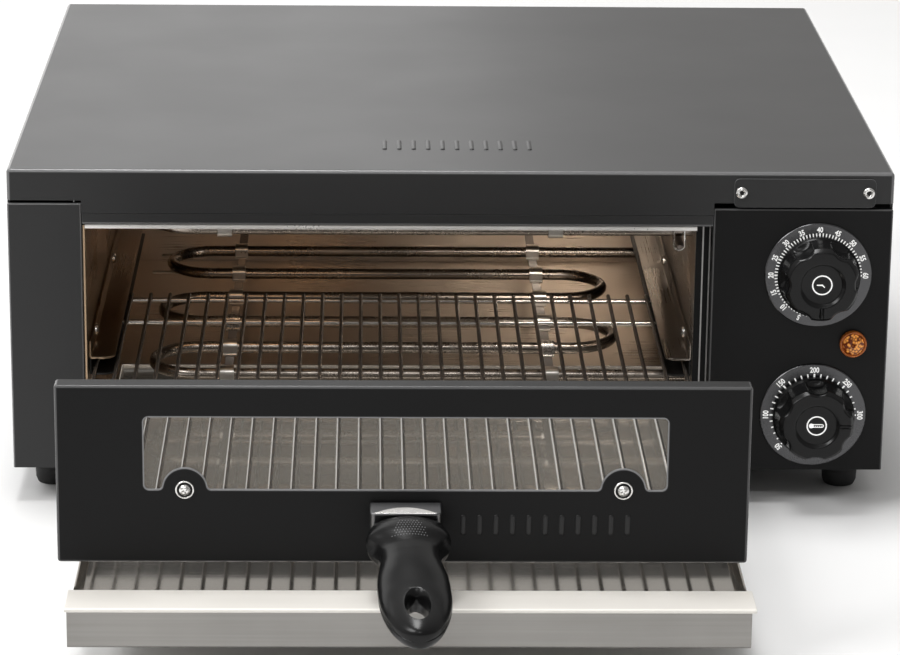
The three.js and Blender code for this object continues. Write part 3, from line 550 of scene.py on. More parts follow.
def piece(name, bm, body, finish, replaces=None, smooth=38):
    """A finished piece of the oven, riding on a body; painted sheet keeps its flat faces flat."""
    bmesh.ops.recalc_face_normals(bm, faces=bm.faces)
    bm.transform(Matrix.Scale(MM, 4))
    mesh = bpy.data.meshes.new(name)
    bm.to_mesh(mesh)
    bm.free()
    mesh.polygons.foreach_set("use_smooth", [True] * len(mesh.polygons))
    mesh.set_sharp_from_angle(angle=math.radians(smooth))
    mesh.materials.append(LOOKS[finish])
    made = bpy.data.objects.new(name, mesh)
    scene.collection.objects.link(made)
    if finish in SHEET_FINISHES:
        made.modifiers.new("flat_faces", "WEIGHTED_NORMAL").keep_sharp = True
    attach(made, body)
    if replaces:
        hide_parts(replaces)


make_camera()
make_materials()
make_world()
make_lights()
make_floor()

cover = Cad("outer_cover")
pillar = Cad("left_front_panel")
fascia = Cad("control_panel")
header = Cad("header_strip")
FRONT = fascia.y0


# ---- casing ----

def capsule(x, y, width, height, steps=6):
    """The outline of an upright slot with round ends, round its centre."""
    w, h = width / 2, height / 2
    return rectangle(x - w, x + w, y - h, y + h, w * 0.999, steps)


def make_cover():
    """One folded sheet: top, two sides and a shallow front flange that steps down over the mouth."""
    low, deep = pillar.z1 + 1.7, header.z1 + GAP
    x0, x1, y0, y1, z0, z1 = cover.x0, cover.x1, FRONT, cover.y1, cover.z0, cover.z1
    inset = y0 + 3.8
    front = [(x0, low), (pillar.x1, low), (pillar.x1, deep), (fascia.x0, deep), (fascia.x0, low),
             (x1, low), (x1, z1), (x0, z1)]
    side = [(y0, low), (y0, z1), (y1, z1), (y1, z0), (inset, z0), (inset, low)]
    polygons = [
        [(x, y0, z) for x, z in front],
        [(x0, y0, z1), (x1, y0, z1), (x1, y1, z1), (x0, y1, z1)],
        [(x0, y, z) for y, z in side],
        [(x1, y, z) for y, z in side],
    ]
    housing = Cad("switch_housing")
    rim = 1.3
    switch_hole = rectangle(housing.y0 + rim, housing.y1 - rim, housing.z0 + rim, housing.z1 - rim, 0.8)
    vents = [prism(capsule(y0 + 252.5 + 18 * i, 90, 5, 60), x1 - 5, x1 + 5, SIDEWAYS) for i in range(6)]
    holes = together(prism(switch_hole, x1 - 5, x1 + 5, SIDEWAYS), *vents)
    sheet = folded_sheet(polygons, (0, -1, 0), 2.2, 1.5, holes, 0.25)
    piece("cover_shell", sheet, BODY, "cover_paint", "outer_cover")


def bead(length, width, height, place):
    """A plain raised rib with a rounded crest, drawn lying along the second axis."""
    rings = []
    for k in range(6):
        a = math.pi / 2 * k / 5
        shrink = width / 2 * (1 - math.cos(a))
        rings.append([(*p, height * math.sin(a)) for p in
                      capsule(0, 0, width - 2 * shrink + 0.02, length - 2 * shrink + 0.02)])
    rings.insert(0, [(p[0], p[1], -0.3) for p in rings[0]])
    bm = loft(rings)
    bm.transform(place)
    return bm


def make_beads(name, length, centre, turn, body):
    """A row of plain beads, where the oven has embossed wording."""
    count, pitch, width, height = 11, 8, 2.6, 0.55
    first = -(count - 1) / 2 * pitch
    x, y, z = centre
    beads = [bead(length, width, height, at(x + first + pitch * i, y, z, turn)) for i in range(count)]
    piece(name, together(*beads), body, "bead_paint")


def make_front_panels():
    """The two uprights at the sides of the mouth, folded back along both edges."""
    lip = 3.4
    for name, node, box, inner, outer, depth in [
        ("left_upright", "left_front_panel", pillar, pillar.x1, pillar.x0, pillar.y1),
        ("control_fascia", "control_panel", fascia, fascia.x0, fascia.x1, fascia.y1),
    ]:
        x0, x1, z0, z1, y0, y1 = box.x0, box.x1, box.z0, box.z1, FRONT, FRONT + lip
        polygons = [
            [(x0, y0, z0), (x1, y0, z0), (x1, y0, z1), (x0, y0, z1)],
            [(inner, y0, z0), (inner, depth, z0), (inner, depth, z1), (inner, y0, z1)],
            [(outer, y0, z0), (outer, y1, z0), (outer, y1, z1), (outer, y0, z1)],
            [(x0, y0, z1), (x1, y0, z1), (x1, y1, z1), (x0, y1, z1)],
        ]
        sheet = folded_sheet(polygons, (0, -1, 0), 1.1, 1.0)
        slot = "cover_paint" if box is pillar else "panel_paint"
        piece(name, sheet, BODY, slot, node)


def make_header():
    """The strip over the mouth, folded back along its lower edge."""
    path = outline((header.y0 + 0.6, header.z1), (header.y0 + 0.6, header.z0 + 0.6),
                   (header.y1, header.z0 + 0.6), radius=1.2, closed=False)
    bm = prism(strip(path, SHEET), header.x0, header.x1, SIDEWAYS)
    piece("header_trim", eased(bm, 0.2), BODY, "cover_paint", "header_strip")


def make_badge():
    """A blank plate, and the two hollow rivets that hold it."""
    box = Cad("badge_plate")
    bm = prism(rectangle(box.x0, box.x1, box.z0, box.z1, 3), -FRONT + 0.1, -box.y0, FORWARD)
    piece("blank_badge", eased(bm, 0.25), BODY, "cover_paint", "badge_plate")
    profile = outline((0, -0.6), (1.2, -0.6), (1.3, 1.0, 0.2), (2.1, 1.5, 0.5), (3.1, 0.9, 0.6),
                      (3.4, 0, 0.1), (0, 0), closed=False)
    for side in ("left", "right"):
        node = f"badge_rivet_{side}"
        rivet = Cad(node)
        head = lathe(profile, 32, at(rivet.x, rivet.y1, rivet.z))
        piece(f"rivet_{side}", head, BODY, "bright_steel", node)
        # a black disc in the rivet's bore, as painted shade in the hollow
        bore = lathe([(0, 0.2), (1.15, 0.2), (1.15, -0.4), (0, -0.4)], 24, at(rivet.x, rivet.y1, rivet.z))
        piece(f"rivet_bore_{side}", bore, BODY, "hole_shade_black")


def make_feet():
    """Four turned rubber feet, a little hollow underneath."""
    profile = outline((0, 0.9), (2.6, 0.9, 0.3), (3.2, 0, 0.3), (8.4, 0, 1.2), (9.6, 3, 1), (9.9, 9, 0.4),
                      (10.3, 9.6, 0.3), (11.6, 17.6, 0.8), (11.2, 19.7, 0.3), (0, 19.7), closed=False)
    for row in ("front", "rear"):
        for side in ("left", "right"):
            node = f"foot_{row}_{side}"
            box = Cad(node)
            foot = lathe(profile, 40, at(box.x, box.y, box.z0, UPWARD))
            piece(f"pad_{row}_{side}", foot, BODY, "rubber", node)


def make_rear_panel():
    """The back plate with its vent slots and screws, and the bush for the supply cord."""
    box, bush = Cad("rear_panel"), Cad("cord_bush")
    slots = [prism(capsule(cover.x0 + 92.5 + 20 * i, 140, 5, 40), -box.y1 - 5, -box.y0 + 5, FORWARD)
             for i in range(14)]
    hole = prism(circle(bush.x, bush.z, 8.2), -box.y1 - 5, -box.y0 + 5, FORWARD)
    plate = prism(rectangle(box.x0, box.x1, box.z0, box.z1, 1), -box.y1, -box.y0, FORWARD)
    plate = eased(cut(plate, together(hole, *slots)), 0.25, 2, 50)
    piece("back_panel", plate, BODY, "cover_paint", "rear_panel")
    edge = 8
    places = [(x, z) for x in (box.x0 + edge, box.x, box.x1 - edge) for z in (box.z0 + edge, box.z1 - edge)]
    screws = [screw_head(3.2, 1.9, at(x, box.y1, z, BACKWARD)) for x, z in places]
    piece("back_screws", together(*screws), BODY, "bright_steel")
    profile = outline((5, 4.2), (8.6, 4.2, 1), (11, 3, 0.8), (11, 0.2, 0.4), (8, 0, 0.1), (8, -1.5),
                      (11, -1.7, 0.3), (11, -4.2, 0.8), (5, -4.2), (5, 4.2), closed=False)
    ring = lathe(profile[:-1], 40, at(bush.x, box.y1 + 0.1, bush.z, BACKWARD), ring=True)
    piece("bush_ring", ring, BODY, "rubber", "cord_bush")


def screw_head(radius, height, place):
    """A pan head with a cross recess."""
    profile = outline((0, height), (radius * 0.55, height * 0.98, radius * 0.5),
                      (radius * 0.97, height * 0.55, 0.5), (radius, 0, 0.15), (0, 0), closed=False)
    head = lathe(profile, 32)
    arm, reach = radius * 0.16, radius * 0.56
    across = prism(rectangle(-reach, reach, -arm, arm, arm * 0.6, 2), height * 0.35, height + 1)
    upright = prism(rectangle(-arm, arm, -reach, reach, arm * 0.6, 2), height * 0.35, height + 1)
    head = cut(cut(head, across), upright)
    head.transform(place)
    return head


# ---- cavity ----

def make_ceiling():
    """The ceiling sheet, and its bright rolled edge over the mouth."""
    box = Cad("liner_ceiling")
    thin = 0.6
    level = box.z1 - thin
    left, right = Cad("liner_left"), Cad("liner_right")
    x0, x1 = left.x1 + 0.2, right.x0 - 0.2
    sheet = prism(strip(outline((box.y0 + 1, level), (box.y1, level), closed=False), thin), x0, x1, SIDEWAYS)
    piece("ceiling_sheet", eased(sheet, 0.12), BODY, "liner_x", "liner_ceiling")
    edge = rectangle(box.y0, box.y0 + 1.2, box.z0, box.z1 - 0.1, 0.55)
    piece("mouth_lip", prism(edge, x0, x1, SIDEWAYS), BODY, "mouth_lip")


def make_rails():
    """Each rail is an upper angle on the wall and a lower one, with the rack's slot between them; the lower
    one is near black, as painted shade in the slot.
    """
    for side, wall_side in (("left", -1), ("right", 1)):
        node = f"rail_{side}"
        box = Cad(node)
        wall = box.x0 if wall_side < 0 else box.x1
        lip = box.x1 if wall_side < 0 else box.x0
        t = SHEET / 2
        top = box.z1 - 9
        upper = outline((wall - wall_side * t, box.z1), (wall - wall_side * t, top - t), (lip, top - t),
                        radius=1.1, closed=False)
        lower = outline((wall - wall_side * t, top - SHEET - 0.1), (wall - wall_side * t, box.z0 + t),
                        (lip, box.z0 + t), radius=1.1, closed=False)
        corner = 6.5
        inside = lip + wall_side * corner
        round_off = arc(inside, box.y0 + corner, corner, -90, -90 - wall_side * 90, 8)
        tool = [Vector((lip - wall_side, box.y0 + corner)), Vector((lip - wall_side, box.y0 - 1)),
                Vector((inside, box.y0 - 1)), *round_off]
        steel = "liner_warm" if wall_side < 0 else "liner_y"
        for name, path, finish in (("slide", upper, steel), ("slot", lower, "slot_shade_black")):
            angle = prism(strip(path, SHEET), -box.y1, -box.y0, FORWARD)
            angle = eased(cut(angle, prism(tool, box.z0 - 1, top + 0.5)), 0.22, 2, 50)
            piece(f"{name}_{side}", angle, BODY, finish, node)
        for place in ("front", "rear"):
            screw_node = f"rail_screw_{side}_{place}"
            s = Cad(screw_node)
            turn = turned(wall_side * -math.pi / 2, "Y") @ turned(0.5)
            head = screw_head(3.2, 1.9, at(wall - wall_side * (SHEET + 0.05), s.y, s.z, turn))
            piece(f"slide_screw_{side}_{place}", head, BODY, "bright_steel", screw_node)


def make_trim():
    """The dark channel between the mouth and the controls, with a thin pale strip at each side as a painted
    highlight on its edge.
    """
    box = Cad("right_trim_strip")
    channel = prism(rectangle(box.x0 + 0.2, box.x1 - 0.9, box.z0, box.z1, 0.3, 2), -box.y1, -box.y0, FORWARD)
    piece("trim_channel", channel, BODY, "panel_paint", "right_trim_strip")
    edges = []
    for x in (box.x0 + 4, box.x1 - 0.5):
        edge = rectangle(x - 0.4, x + 0.4, box.z0, box.z1, 0.3, 2)
        edges.append(prism(edge, -box.y1, -box.y0 + 0.15, FORWARD))
    piece("trim_edge_highlights", together(*edges), BODY, "trim_highlight_steel")


# ---- heating ----

ROWS = 6
END_TO_BEND = 80    # from an element's ends to the centres of its right-hand bends


def element_rows(node):
    """Radius, height, first row and pitch of an element."""
    box = Cad(node)
    r = (box.z1 - box.z0) / 2 / math.cos(math.pi / 8)
    pitch = (box.y1 - box.y0 - 2 * r) / (ROWS - 1)
    return r, box.z, box.y0 + r, pitch


def make_element(level):
    """A tube that runs to and fro in rows, with both ends out at the right."""
    node = f"{level}_element"
    box = Cad(node)
    r, z, first, pitch = element_rows(node)
    left, right = box.x0 + r + pitch / 2, box.x1 - END_TO_BEND
    path = [(box.x1, first, z)]
    for row in range(ROWS):
        y = first + row * pitch
        leftwards = row % 2 == 0
        start, end = (right, left) if leftwards else (left, right)
        if row:
            path.append((start, y, z))
        if row == ROWS - 1:
            path.append((box.x1, y, z))
            break
        path.append((end, y, z))
        out = -1 if leftwards else 1
        for k in range(1, 16):
            a = math.pi * k / 16
            path.append((end + out * pitch / 2 * math.sin(a), y + pitch / 2 * (1 - math.cos(a)), z))
    piece(f"{level}_heater", bar(path, r, 20), BODY, "element_sheath", node)


def make_clips(level, side):
    """A strip along the element, and a strap bent round each row."""
    node = f"{level}_element_bracket_{side}"
    box = Cad(node)
    r, z, first, pitch = element_rows(f"{level}_element")
    up = 1 if level == "lower" else -1
    base = z - up * (r + 0.9)
    straps = []
    for row in range(ROWS):
        y = first + row * pitch
        near, far = base + up * 0.9, z + up * (r + 0.75)
        strap = outline((y - 6, near), (y - r - 1, near, 0.8), (y - r - 1, far, 3), (y + r + 1, far, 3),
                        (y + r + 1, near, 0.8), (y + 6, near), closed=False)
        straps.append(prism(strip(strap, 0.8), box.x0, box.x1, SIDEWAYS))
    clips = eased(together(*straps), 0.15, 1, 50)
    piece(f"{level}_clips_{side}", clips, BODY, "clip_steel", node)
    if level == "upper":
        roof = Cad("liner_ceiling").z1 - 0.9
        ends = [(y, roof) for y in (box.y0 + 1, box.y - 8, box.y1 - 1)]
    else:
        ends = [(box.y1 - 0.6, box.z1)]
    paths = [outline((box.y0, base), (box.y1, base), closed=False)]
    paths += [outline((y, base), (y, end), closed=False) for y, end in ends]
    inset = 1.4
    strips = [prism(strip(path, 1.1), box.x0 + inset, box.x1 - inset, SIDEWAYS) for path in paths]
    holder = eased(together(*strips), 0.15, 1, 50)
    piece(f"{level}_strip_{side}", holder, BODY, "clip_strip")


def make_rests():
    """Two short tabs that carry the rear bend of the lower element."""
    r, z, first, pitch = element_rows("lower_element")
    left = Cad("lower_element").x0 + r
    tabs = []
    for y, reach in ((first + 5.05 * pitch, 2), (first + 4.3 * pitch, 6)):
        tab = rectangle(left - reach - 6, left + 16, y - 2, y + 2, 0.6, 2)
        tabs.append(prism(tab, z - r - 1.1, z - r - 0.1))
    piece("element_rests", eased(together(*tabs), 0.2, 1, 50), BODY, "tab_steel")


def make_bulb():
    """The thermostat's dark bulb at the right of the ceiling, held by two thin wire clips."""
    box = Cad("thermostat_bulb")
    wall = Cad("liner_right").x0
    x, z = box.x0 + 2.5, box.z1 - 2.4
    y0, y1 = box.y0, box.y0 + 75
    profile = [(0, 0), (0.9, 0), (2.0, 0.9), (2.5, 2.6), (2.5, 70), (1.9, 73), (1.2, 75), (0, 75)]
    bulb = lathe(profile, 20, at(x, y1, z))
    lead = [(x, y1 - 1, z), (x, y1 + 8, z), (x + 2, y1 + 15, z), (x + 6, y1 + 19, z), (wall + 8, y1 + 20, z)]
    piece("sensor_bulb", together(bulb, bar(lead, 1.2, 12)), BODY, "clip_strip",
          "thermostat_bulb")
    roof = Cad("liner_ceiling").z1 - 0.9
    hooks = []
    for y in (y0 + 4, y0 + 60):
        under = [(x + p.x, y, z + p.y) for p in arc(0, 0, 2.9, 180, 360, 8)]
        hooks.append(bar([(x - 2.9, y, roof), *under, (x + 2.9, y, roof)], 0.35, 8, 0.1))
    piece("sensor_hooks", together(*hooks), BODY, "bright_steel")


# ---- controls ----

def dial_plate(name):
    """A dial's fixed disc, and its box."""
    node = f"{name}_dial_plate"
    box = Cad(node)
    r = (box.x1 - box.x0) / 2
    profile = outline((4.4, 1.0), (r - 0.5, 1.0, 0.4), (r, 0.5, 0.3), (r, 0), (4.4, 0), (4.4, 1.0),
                      closed=False)
    plate = lathe(profile[:-1], 96, at(box.x, box.y1, box.z), ring=True)
    LOOKS[node] = spun(node, (box.x * MM, box.y * MM, box.z * MM))
    piece(f"{name}_face", plate, BODY, node, node)
    return box


def numeral(text, height, place):
    """Printed digits as flat raised shapes, centred on their place."""
    data = bpy.data.curves.new("numeral", "FONT")
    data.body = text
    data.size = height * 1.42
    data.align_x = data.align_y = "CENTER"
    data.extrude = 0.03
    data.offset = 0.045 * height
    data.resolution_u = 3
    holder = bpy.data.objects.new("numeral", data)
    scene.collection.objects.link(holder)
    bpy.context.view_layer.update()
    mesh = bpy.data.meshes.new_from_object(holder.evaluated_get(bpy.context.evaluated_depsgraph_get()))
    bm = bmesh.new()
    bm.from_mesh(mesh)
    bpy.data.meshes.remove(mesh)
    bpy.data.objects.remove(holder)
    bmesh.ops.remove_doubles(bm, verts=bm.verts, dist=0.001)
    bmesh.ops.scale(bm, vec=(0.8, 1, 1), verts=bm.verts)
    bm.transform(place)
    return bm


def make_scale(name, box, marks, numbers):
    """Ticks at marks and numerals at numbers, each an angle in degrees; digits stand outwards."""
    base = at(box.x, box.y1 - 1.0, box.z)
    parts = []
    for angle, inner, outer, wide in marks:
        turn = base @ turned(math.radians(angle))
        parts.append(prism(rectangle(inner, outer, -wide / 2, wide / 2, 0), -0.02, 0.05, turn))
    for angle, text, radius, height in numbers:
        turn = turned(math.radians(angle)) @ Matrix.Translation((radius, 0, 0.02))
        parts.append(numeral(text, height, base @ turn @ turned(-math.pi / 2)))
    piece(f"{name}_scale", together(*parts), BODY, "print_with_painted_glow", smooth=20)


def make_timer_scale():
    """A mark for each minute from 0 to 60, with a number and a bolder mark every five."""
    minute = 4.5
    marks = [(270 - minute * m, 21.6, 23.9, 0.95 if m % 5 == 0 else 0.7) for m in range(0, 61)]
    numbers = [(270 - minute * m, str(m), 25.7, 2.9) for m in range(5, 61, 5)]
    make_scale("timer", dial_plate("timer"), marks, numbers)


def make_thermostat_scale():
    """Degrees from 50 to 300, with longer and bolder marks every 50."""
    degree = 0.9
    marks = []
    for c in range(50, 301, 10):
        inner, wide = (21.6, 0.95) if c % 50 == 0 else (22.0, 0.75)
        marks.append((270 - degree * c, inner, 23.9, wide))
    numbers = [(270 - degree * c, str(c), 25.9, 3.0) for c in range(50, 301, 50)]
    make_scale("thermostat", dial_plate("thermostat"), marks, numbers)


def make_knob(name, pointer):
    """A moulded knob: six finger hollows, a bevelled crown, a dished centre and a pointer groove.

    pointer is the groove's direction, in degrees from the right.
    """
    node = f"{name}_knob"
    box = Cad(node)
    depth = box.y1 - box.y0
    profile = outline((22.3, 0), (22.7, 3.6, 0.8), (21.7, 5.2, 0.8), (20.9, 12), (20.5, 17.4, 1.2),
                      (18.6, depth, 1.0), (12.4, depth + 0.1, 1.5), (10.8, depth - 1.5, 1.2),
                      (5, depth - 1.9), (0, depth - 1.9), closed=False, steps=4)
    hollows, distance, hollow, floor = 6, 27.2, 9.2, 5.4
    half_turn = math.pi / hollows
    sides = 240
    rings = []
    for r, h in finer(profile, 0.8):
        if r < 1e-6:
            rings.append([(0, 0, h)])
            continue
        ring = []
        lift = max(0.0, floor + 1.6 - h)
        crown = max(0.0, h - (depth - 1.6))
        for i in range(sides):
            a = 2 * math.pi * i / sides
            from_pointer = a - math.radians(pointer)
            off = (from_pointer + half_turn) % (2 * half_turn) - half_turn
            off = abs(off) - half_turn    # angle from the nearest hollow's middle
            reach = hollow ** 2 - (distance * math.sin(off)) ** 2
            edge = distance * math.cos(off) - math.sqrt(reach) if reach > 0 else 40
            edge += 0.05 * max(0.0, depth - h) + 0.9 * lift * lift - 0.45 * crown * crown
            groove = 0.0
            if math.cos(from_pointer) > 0 and r > 12.6:
                away = abs(math.sin(from_pointer) * r)
                groove = 0.5 * max(0.0, 1 - (abs(away - 0.75) / 0.42) ** 2)
            new = smooth_least(r, edge, 0.5)
            ring.append((new * math.cos(a), new * math.sin(a), h - groove if h > depth - 1.4 else h))
        rings.append(ring)
    knob = loft(rings)
    knob.transform(at(box.x, box.y1, box.z))
    piece(f"{name}_grip", knob, f"{name}_dial", "phenolic", node, smooth=32)


def smooth_least(a, b, width):
    """The lesser of two lengths, with the corner between them rounded over a width."""
    k = max(0.0, width - abs(a - b)) / width
    return min(a, b) - k * k * width / 4


def finer(points, step):
    """The same line with a point at least every step."""
    line = [points[0]]
    for p in points[1:]:
        q = line[-1]
        parts = max(1, math.ceil((p - q).length / step))
        line += [q + (p - q) * i / parts for i in range(1, parts + 1)]
    return line


def make_icons():
    """A ring on each knob, round a clock's hands or a thermometer, lying in the dished centre."""
    def printed(points, turn=UPWARD):
        return prism(points, -0.05, 0.06, turn)

    for name in ("timer", "thermostat"):
        box = Cad(f"{name}_knob")
        ring = cut(printed(circle(0, 0, 5.6, 48)), prism(circle(0, 0, 4.85, 48), -1, 1))
        if name == "timer":
            signs = [printed(rectangle(-0.4, 3.0, -0.35, 0.35, 0.2, 2), turned(math.pi)),
                     printed(rectangle(-0.4, 1.9, -0.3, 0.3, 0.2, 2), turned(-0.75))]
        else:
            stem = cut(printed(rectangle(-3.4, 3.9, -1.0, 1.0, 0.98)),
                       prism(rectangle(-2.2, 3.4, -0.5, 0.5, 0.45), -1, 1))
            signs = [stem, printed(circle(-3.0, 0, 1.35, 24))]
            signs += [printed(rectangle(x - 0.15, x + 0.15, -0.5, 0.15, 0)) for x in (-0.8, 0.4, 1.6, 2.8)]
        icon = together(ring, *signs)
        icon.transform(at(box.x, box.y0 + 1.9, box.z))
        piece(f"{name}_icon", icon, f"{name}_dial", "print_with_painted_glow", smooth=20)


def make_pilot():
    """The pilot lamp: an amber rim round a faceted dome."""
    box = Cad("pilot_lens")
    r = (box.x1 - box.x0) / 2
    front = at(box.x, FRONT - GAP, box.z)
    lens = r - 1.6
    rim = outline((lens, 0), (r, 0, 0.2), (r, 2.4, 0.5), (r - 0.7, 3.6, 0.5), (lens + 0.2, 2.2, 0.3),
                  (lens, 2.0), (lens, 0), closed=False)
    bezel = lathe(rim[:-1], 48, front, ring=True)
    piece("pilot_bezel", bezel, BODY, "amber_rim")
    rings = [[(*p, 0.2) for p in circle(0, 0, lens, 24)]]
    for k in range(5):
        part = 1 - 0.19 * k
        dome = 2.6 + 1.6 * (1 - part ** 2)
        points = circle(0, 0, lens * part, 24)
        rings.append([(*p, dome + (0.38 if (i + k) % 2 else 0)) for i, p in enumerate(points)])
    rings.append([(0, 0, 4.5)])
    jewel = loft(rings)
    jewel.transform(front)
    piece("pilot_jewel", jewel, BODY, "amber_lens", "pilot_lens", smooth=5)


def make_switch():
    """The rocker switch in the right side: a black frame with a sunk well, and the red rocker in it."""
    box = Cad("switch_housing")
    wall = cover.x1

    def block(inset_y, inset_z, radius, low, high):
        shape = rectangle(box.y0 + inset_y, box.y1 - inset_y, box.z0 + inset_z, box.z1 - inset_z, radius)
        return prism(shape, low, high, SIDEWAYS)

    rim = block(0, 0, 1.6, wall + 0.2, box.x1)
    barrel = block(1.4, 1.3, 0.6, box.x0, wall + 0.4)
    well = block(2.8, 2.4, 0.6, box.x0 - 1, box.x1 + 1)
    housing = eased(cut(joined(rim, barrel), well), 0.35, 3, 50)
    piece("switch_frame", housing, BODY, "switch_black", "switch_housing")
    rocker = Cad("power_rocker")
    side = outline((-6.4, -3.4, 0.8), (-2.4, -6, 1), (2.4, -6, 1), (6.4, -3.4, 0.8), (7.0, 2.6, 1.6),
                   (6.5, 4.9, 0.8), (0, 1.9, 14), (-6.5, 4.9, 0.8), (-7.0, 2.6, 1.6))
    turn = axes((0, 0, 1), (1, 0, 0), (0, 1, 0))
    tilt = turned(math.radians(-12), "Y")
    body = prism(side, -4.2, 4.2, Matrix.Translation((wall, rocker.y, box.z)) @ tilt @ turn)
    piece("rocker_cap", eased(body, 0.5, 3, 50), "rocker", "rocker_red", "power_rocker")


# ---- rack drawer ----

door = Cad("door_panel")
pane = Cad("door_glass")
HANDLE_DROOP, HANDLE_LEAN = math.radians(13), math.radians(3.5)


def door_place():
    """Drawn on the door's front face: right, up, towards the viewer."""
    return at(0, door.y0, 0)


def window_outline():
    """A rounded opening with a tab over each glass screw, its foot eased into the lower edge."""
    corner, tab, ease = 3, 10.5, 2.5
    x0, x1, z0, z1 = pane.x0 + 8, pane.x1 - 8, pane.z0 + 8, pane.z1 - 7
    rise = Cad("door_screw_left").z - z0
    foot = math.sqrt((tab + ease) ** 2 - (ease - rise) ** 2)
    lean = math.degrees(math.atan2(ease - rise, foot))
    points = arc(x0 + corner, z1 - corner, corner, 90, 180) + arc(x0 + corner, z0 + corner, corner, 180, 270)
    for side in ("left", "right"):
        x = Cad(f"door_screw_{side}").x
        points += arc(x - foot, z0 + ease, ease, -90, -lean)
        points += arc(x, z0 + rise, tab, 180 - lean, lean, 24)[1:-1]
        points += arc(x + foot, z0 + ease, ease, 180 + lean, 270)
    points += arc(x1 - corner, z0 + corner, corner, -90, 0) + arc(x1 - corner, z1 - corner, corner, 0, 90)
    return points


def shrunk(points, inset):
    """An anticlockwise outline moved inwards."""
    moved = []
    for i, p in enumerate(points):
        along = (points[(i + 1) % len(points)] - points[i - 1]).normalized()
        moved.append(p + Vector((-along.y, along.x)) * inset)
    return moved


def make_door():
    """The folded door with its window, the window's thin pale rim that paints a highlight on its edge, the
    glass and the two glass screws.
    """
    x0, x1, z0, z1, y0, y1 = door.x0, door.x1, door.z0, door.z1, door.y0, door.y1
    polygons = [
        [(x0, y0, z0), (x1, y0, z0), (x1, y0, z1), (x0, y0, z1)],
        [(x0, y0, z0), (x0, y1, z0), (x0, y1, z1), (x0, y0, z1)],
        [(x1, y0, z0), (x1, y1, z0), (x1, y1, z1), (x1, y0, z1)],
        [(x0, y0, z0), (x0, y1, z0), (x1, y1, z0), (x1, y0, z0)],
        [(x0, y0, z1), (x0, y1, z1), (x1, y1, z1), (x1, y0, z1)],
    ]
    hole = prism(window_outline(), -1.5, 1.5, door_place())
    sheet = folded_sheet(polygons, (0, -1, 0), 1.6, SHEET, hole, 0.35)
    piece("door_skin", sheet, DRAWER, "panel_paint", "door_panel")
    # a thin pale ring inside the window's edge, as a painted highlight
    rim = cut(prism(window_outline(), -1.3, -0.15, door_place()),
              prism(shrunk(window_outline(), 0.55), -3, 3, door_place()))
    piece("window_rim_highlight", rim, DRAWER, "window_rim_highlight")
    glass = prism(rectangle(pane.x0, pane.x1, pane.z0, pane.z1, 2), -pane.y1, -pane.y0, FORWARD)
    piece("window_pane", eased(glass, 0.4), DRAWER, "window_glass", "door_glass")
    for side in ("left", "right"):
        node = f"door_screw_{side}"
        box = Cad(node)
        place = at(box.x, door.y0 - 0.05, box.z)
        cup = outline((3.7, 0), (4.65, 0), (4.65, 0.7, 0.3), (4.1, 1.3, 0.4), (3.7, 0.6))
        head = screw_head(2.8, 2.2, place @ turned(0.35))
        screw = together(lathe(cup, 40, place, ring=True), head)
        piece(f"glass_screw_{side}", screw, DRAWER, "bright_steel", node)
        # a black disc under the screw head, as painted shade in the groove round it
        groove = lathe([(0, 0), (3.8, 0), (3.8, 0.25), (0, 0.25)], 32, place)
        piece(f"screw_groove_{side}", groove, DRAWER, "hole_shade_black")


def make_shelf():
    """The steel angle behind the door that carries the front of the rack."""
    box = Cad("rack_bracket")
    t = SHEET / 2
    level = Cad("wire_rack").z0 - GAP - t
    angle = outline((box.y0 + t, box.z1), (box.y0 + t, level), (box.y1, level), radius=1.2, closed=False)
    lower = outline((box.y0 + t, level - 0.5), (box.y0 + t, box.z0), closed=False)
    bm = together(*(prism(strip(path, SHEET), box.x0, box.x1, SIDEWAYS) for path in (angle, lower)))
    piece("rack_shelf", eased(bm, 0.2), DRAWER, "liner_x", "rack_bracket")


def make_rack():
    """Thirty long wires lying on four thicker cross wires."""
    box = Cad("wire_rack")
    count, thin, thick = 30, 1.15, 1.45
    top = box.z1 - thin
    below = top - thin - thick + 0.3
    x0, x1 = box.x0 + 1.6, box.x1 - 1.6
    along = []
    for i in range(count):
        x = x0 + (x1 - x0) * i / (count - 1)
        along.append(bar([(x, box.y0, top), (x, box.y1, top)], thin, 12, 0.5))
    piece("rack_rods", together(*along), DRAWER, "rack_wire", "wire_rack")
    across = []
    for behind_front in (3.4, 179.4, 330.4, 373.9):
        y = box.y0 + behind_front
        across.append(bar([(box.x0, y, below), (box.x1, y, below)], thick, 14, 0.6))
    piece("rack_crossbars", together(*across), DRAWER, "rack_bright")


# Length along the handle, half width at the crease and below it, height of the crown and of the
# crease, depth below, and how boxy the crown is (1 is an ellipse).
GUARD = [
    (0, 17.4, 17.5, 9.3, 1.5, 9.0, 0.9), (3, 18.8, 18.9, 9.9, 1.6, 10.0, 0.95),
    (6, 19.9, 20.1, 10.2, 1.7, 10.7, 1.0), (9, 20.2, 20.5, 10.3, 1.7, 10.9, 1.0),
    (11.5, 18.9, 20.4, 10.1, 1.6, 10.8, 1.0), (14, 17.0, 19.6, 9.8, 1.3, 10.4, 1.0),
    (16.5, 15.6, 18.4, 9.5, 1.0, 10.0, 1.0), (19.5, 14.7, 16.7, 9.2, 0.6, 9.6, 1.0),
    (23, 14.4, 15.1, 9.0, 0.3, 9.2, 1.0), (27, 14.6, 14.7, 8.8, 0.0, 8.9, 1.0),
    (33, 15.6, 15.6, 8.7, 0.0, 8.7, 1.0), (41, 16.9, 16.9, 8.5, 0.0, 8.5, 1.0),
    (50, 17.4, 17.4, 8.2, 0.0, 8.2, 1.0),
]
HANDLE_END = {"from": 56, "length": 36, "width": 17.4, "height": 8.1}


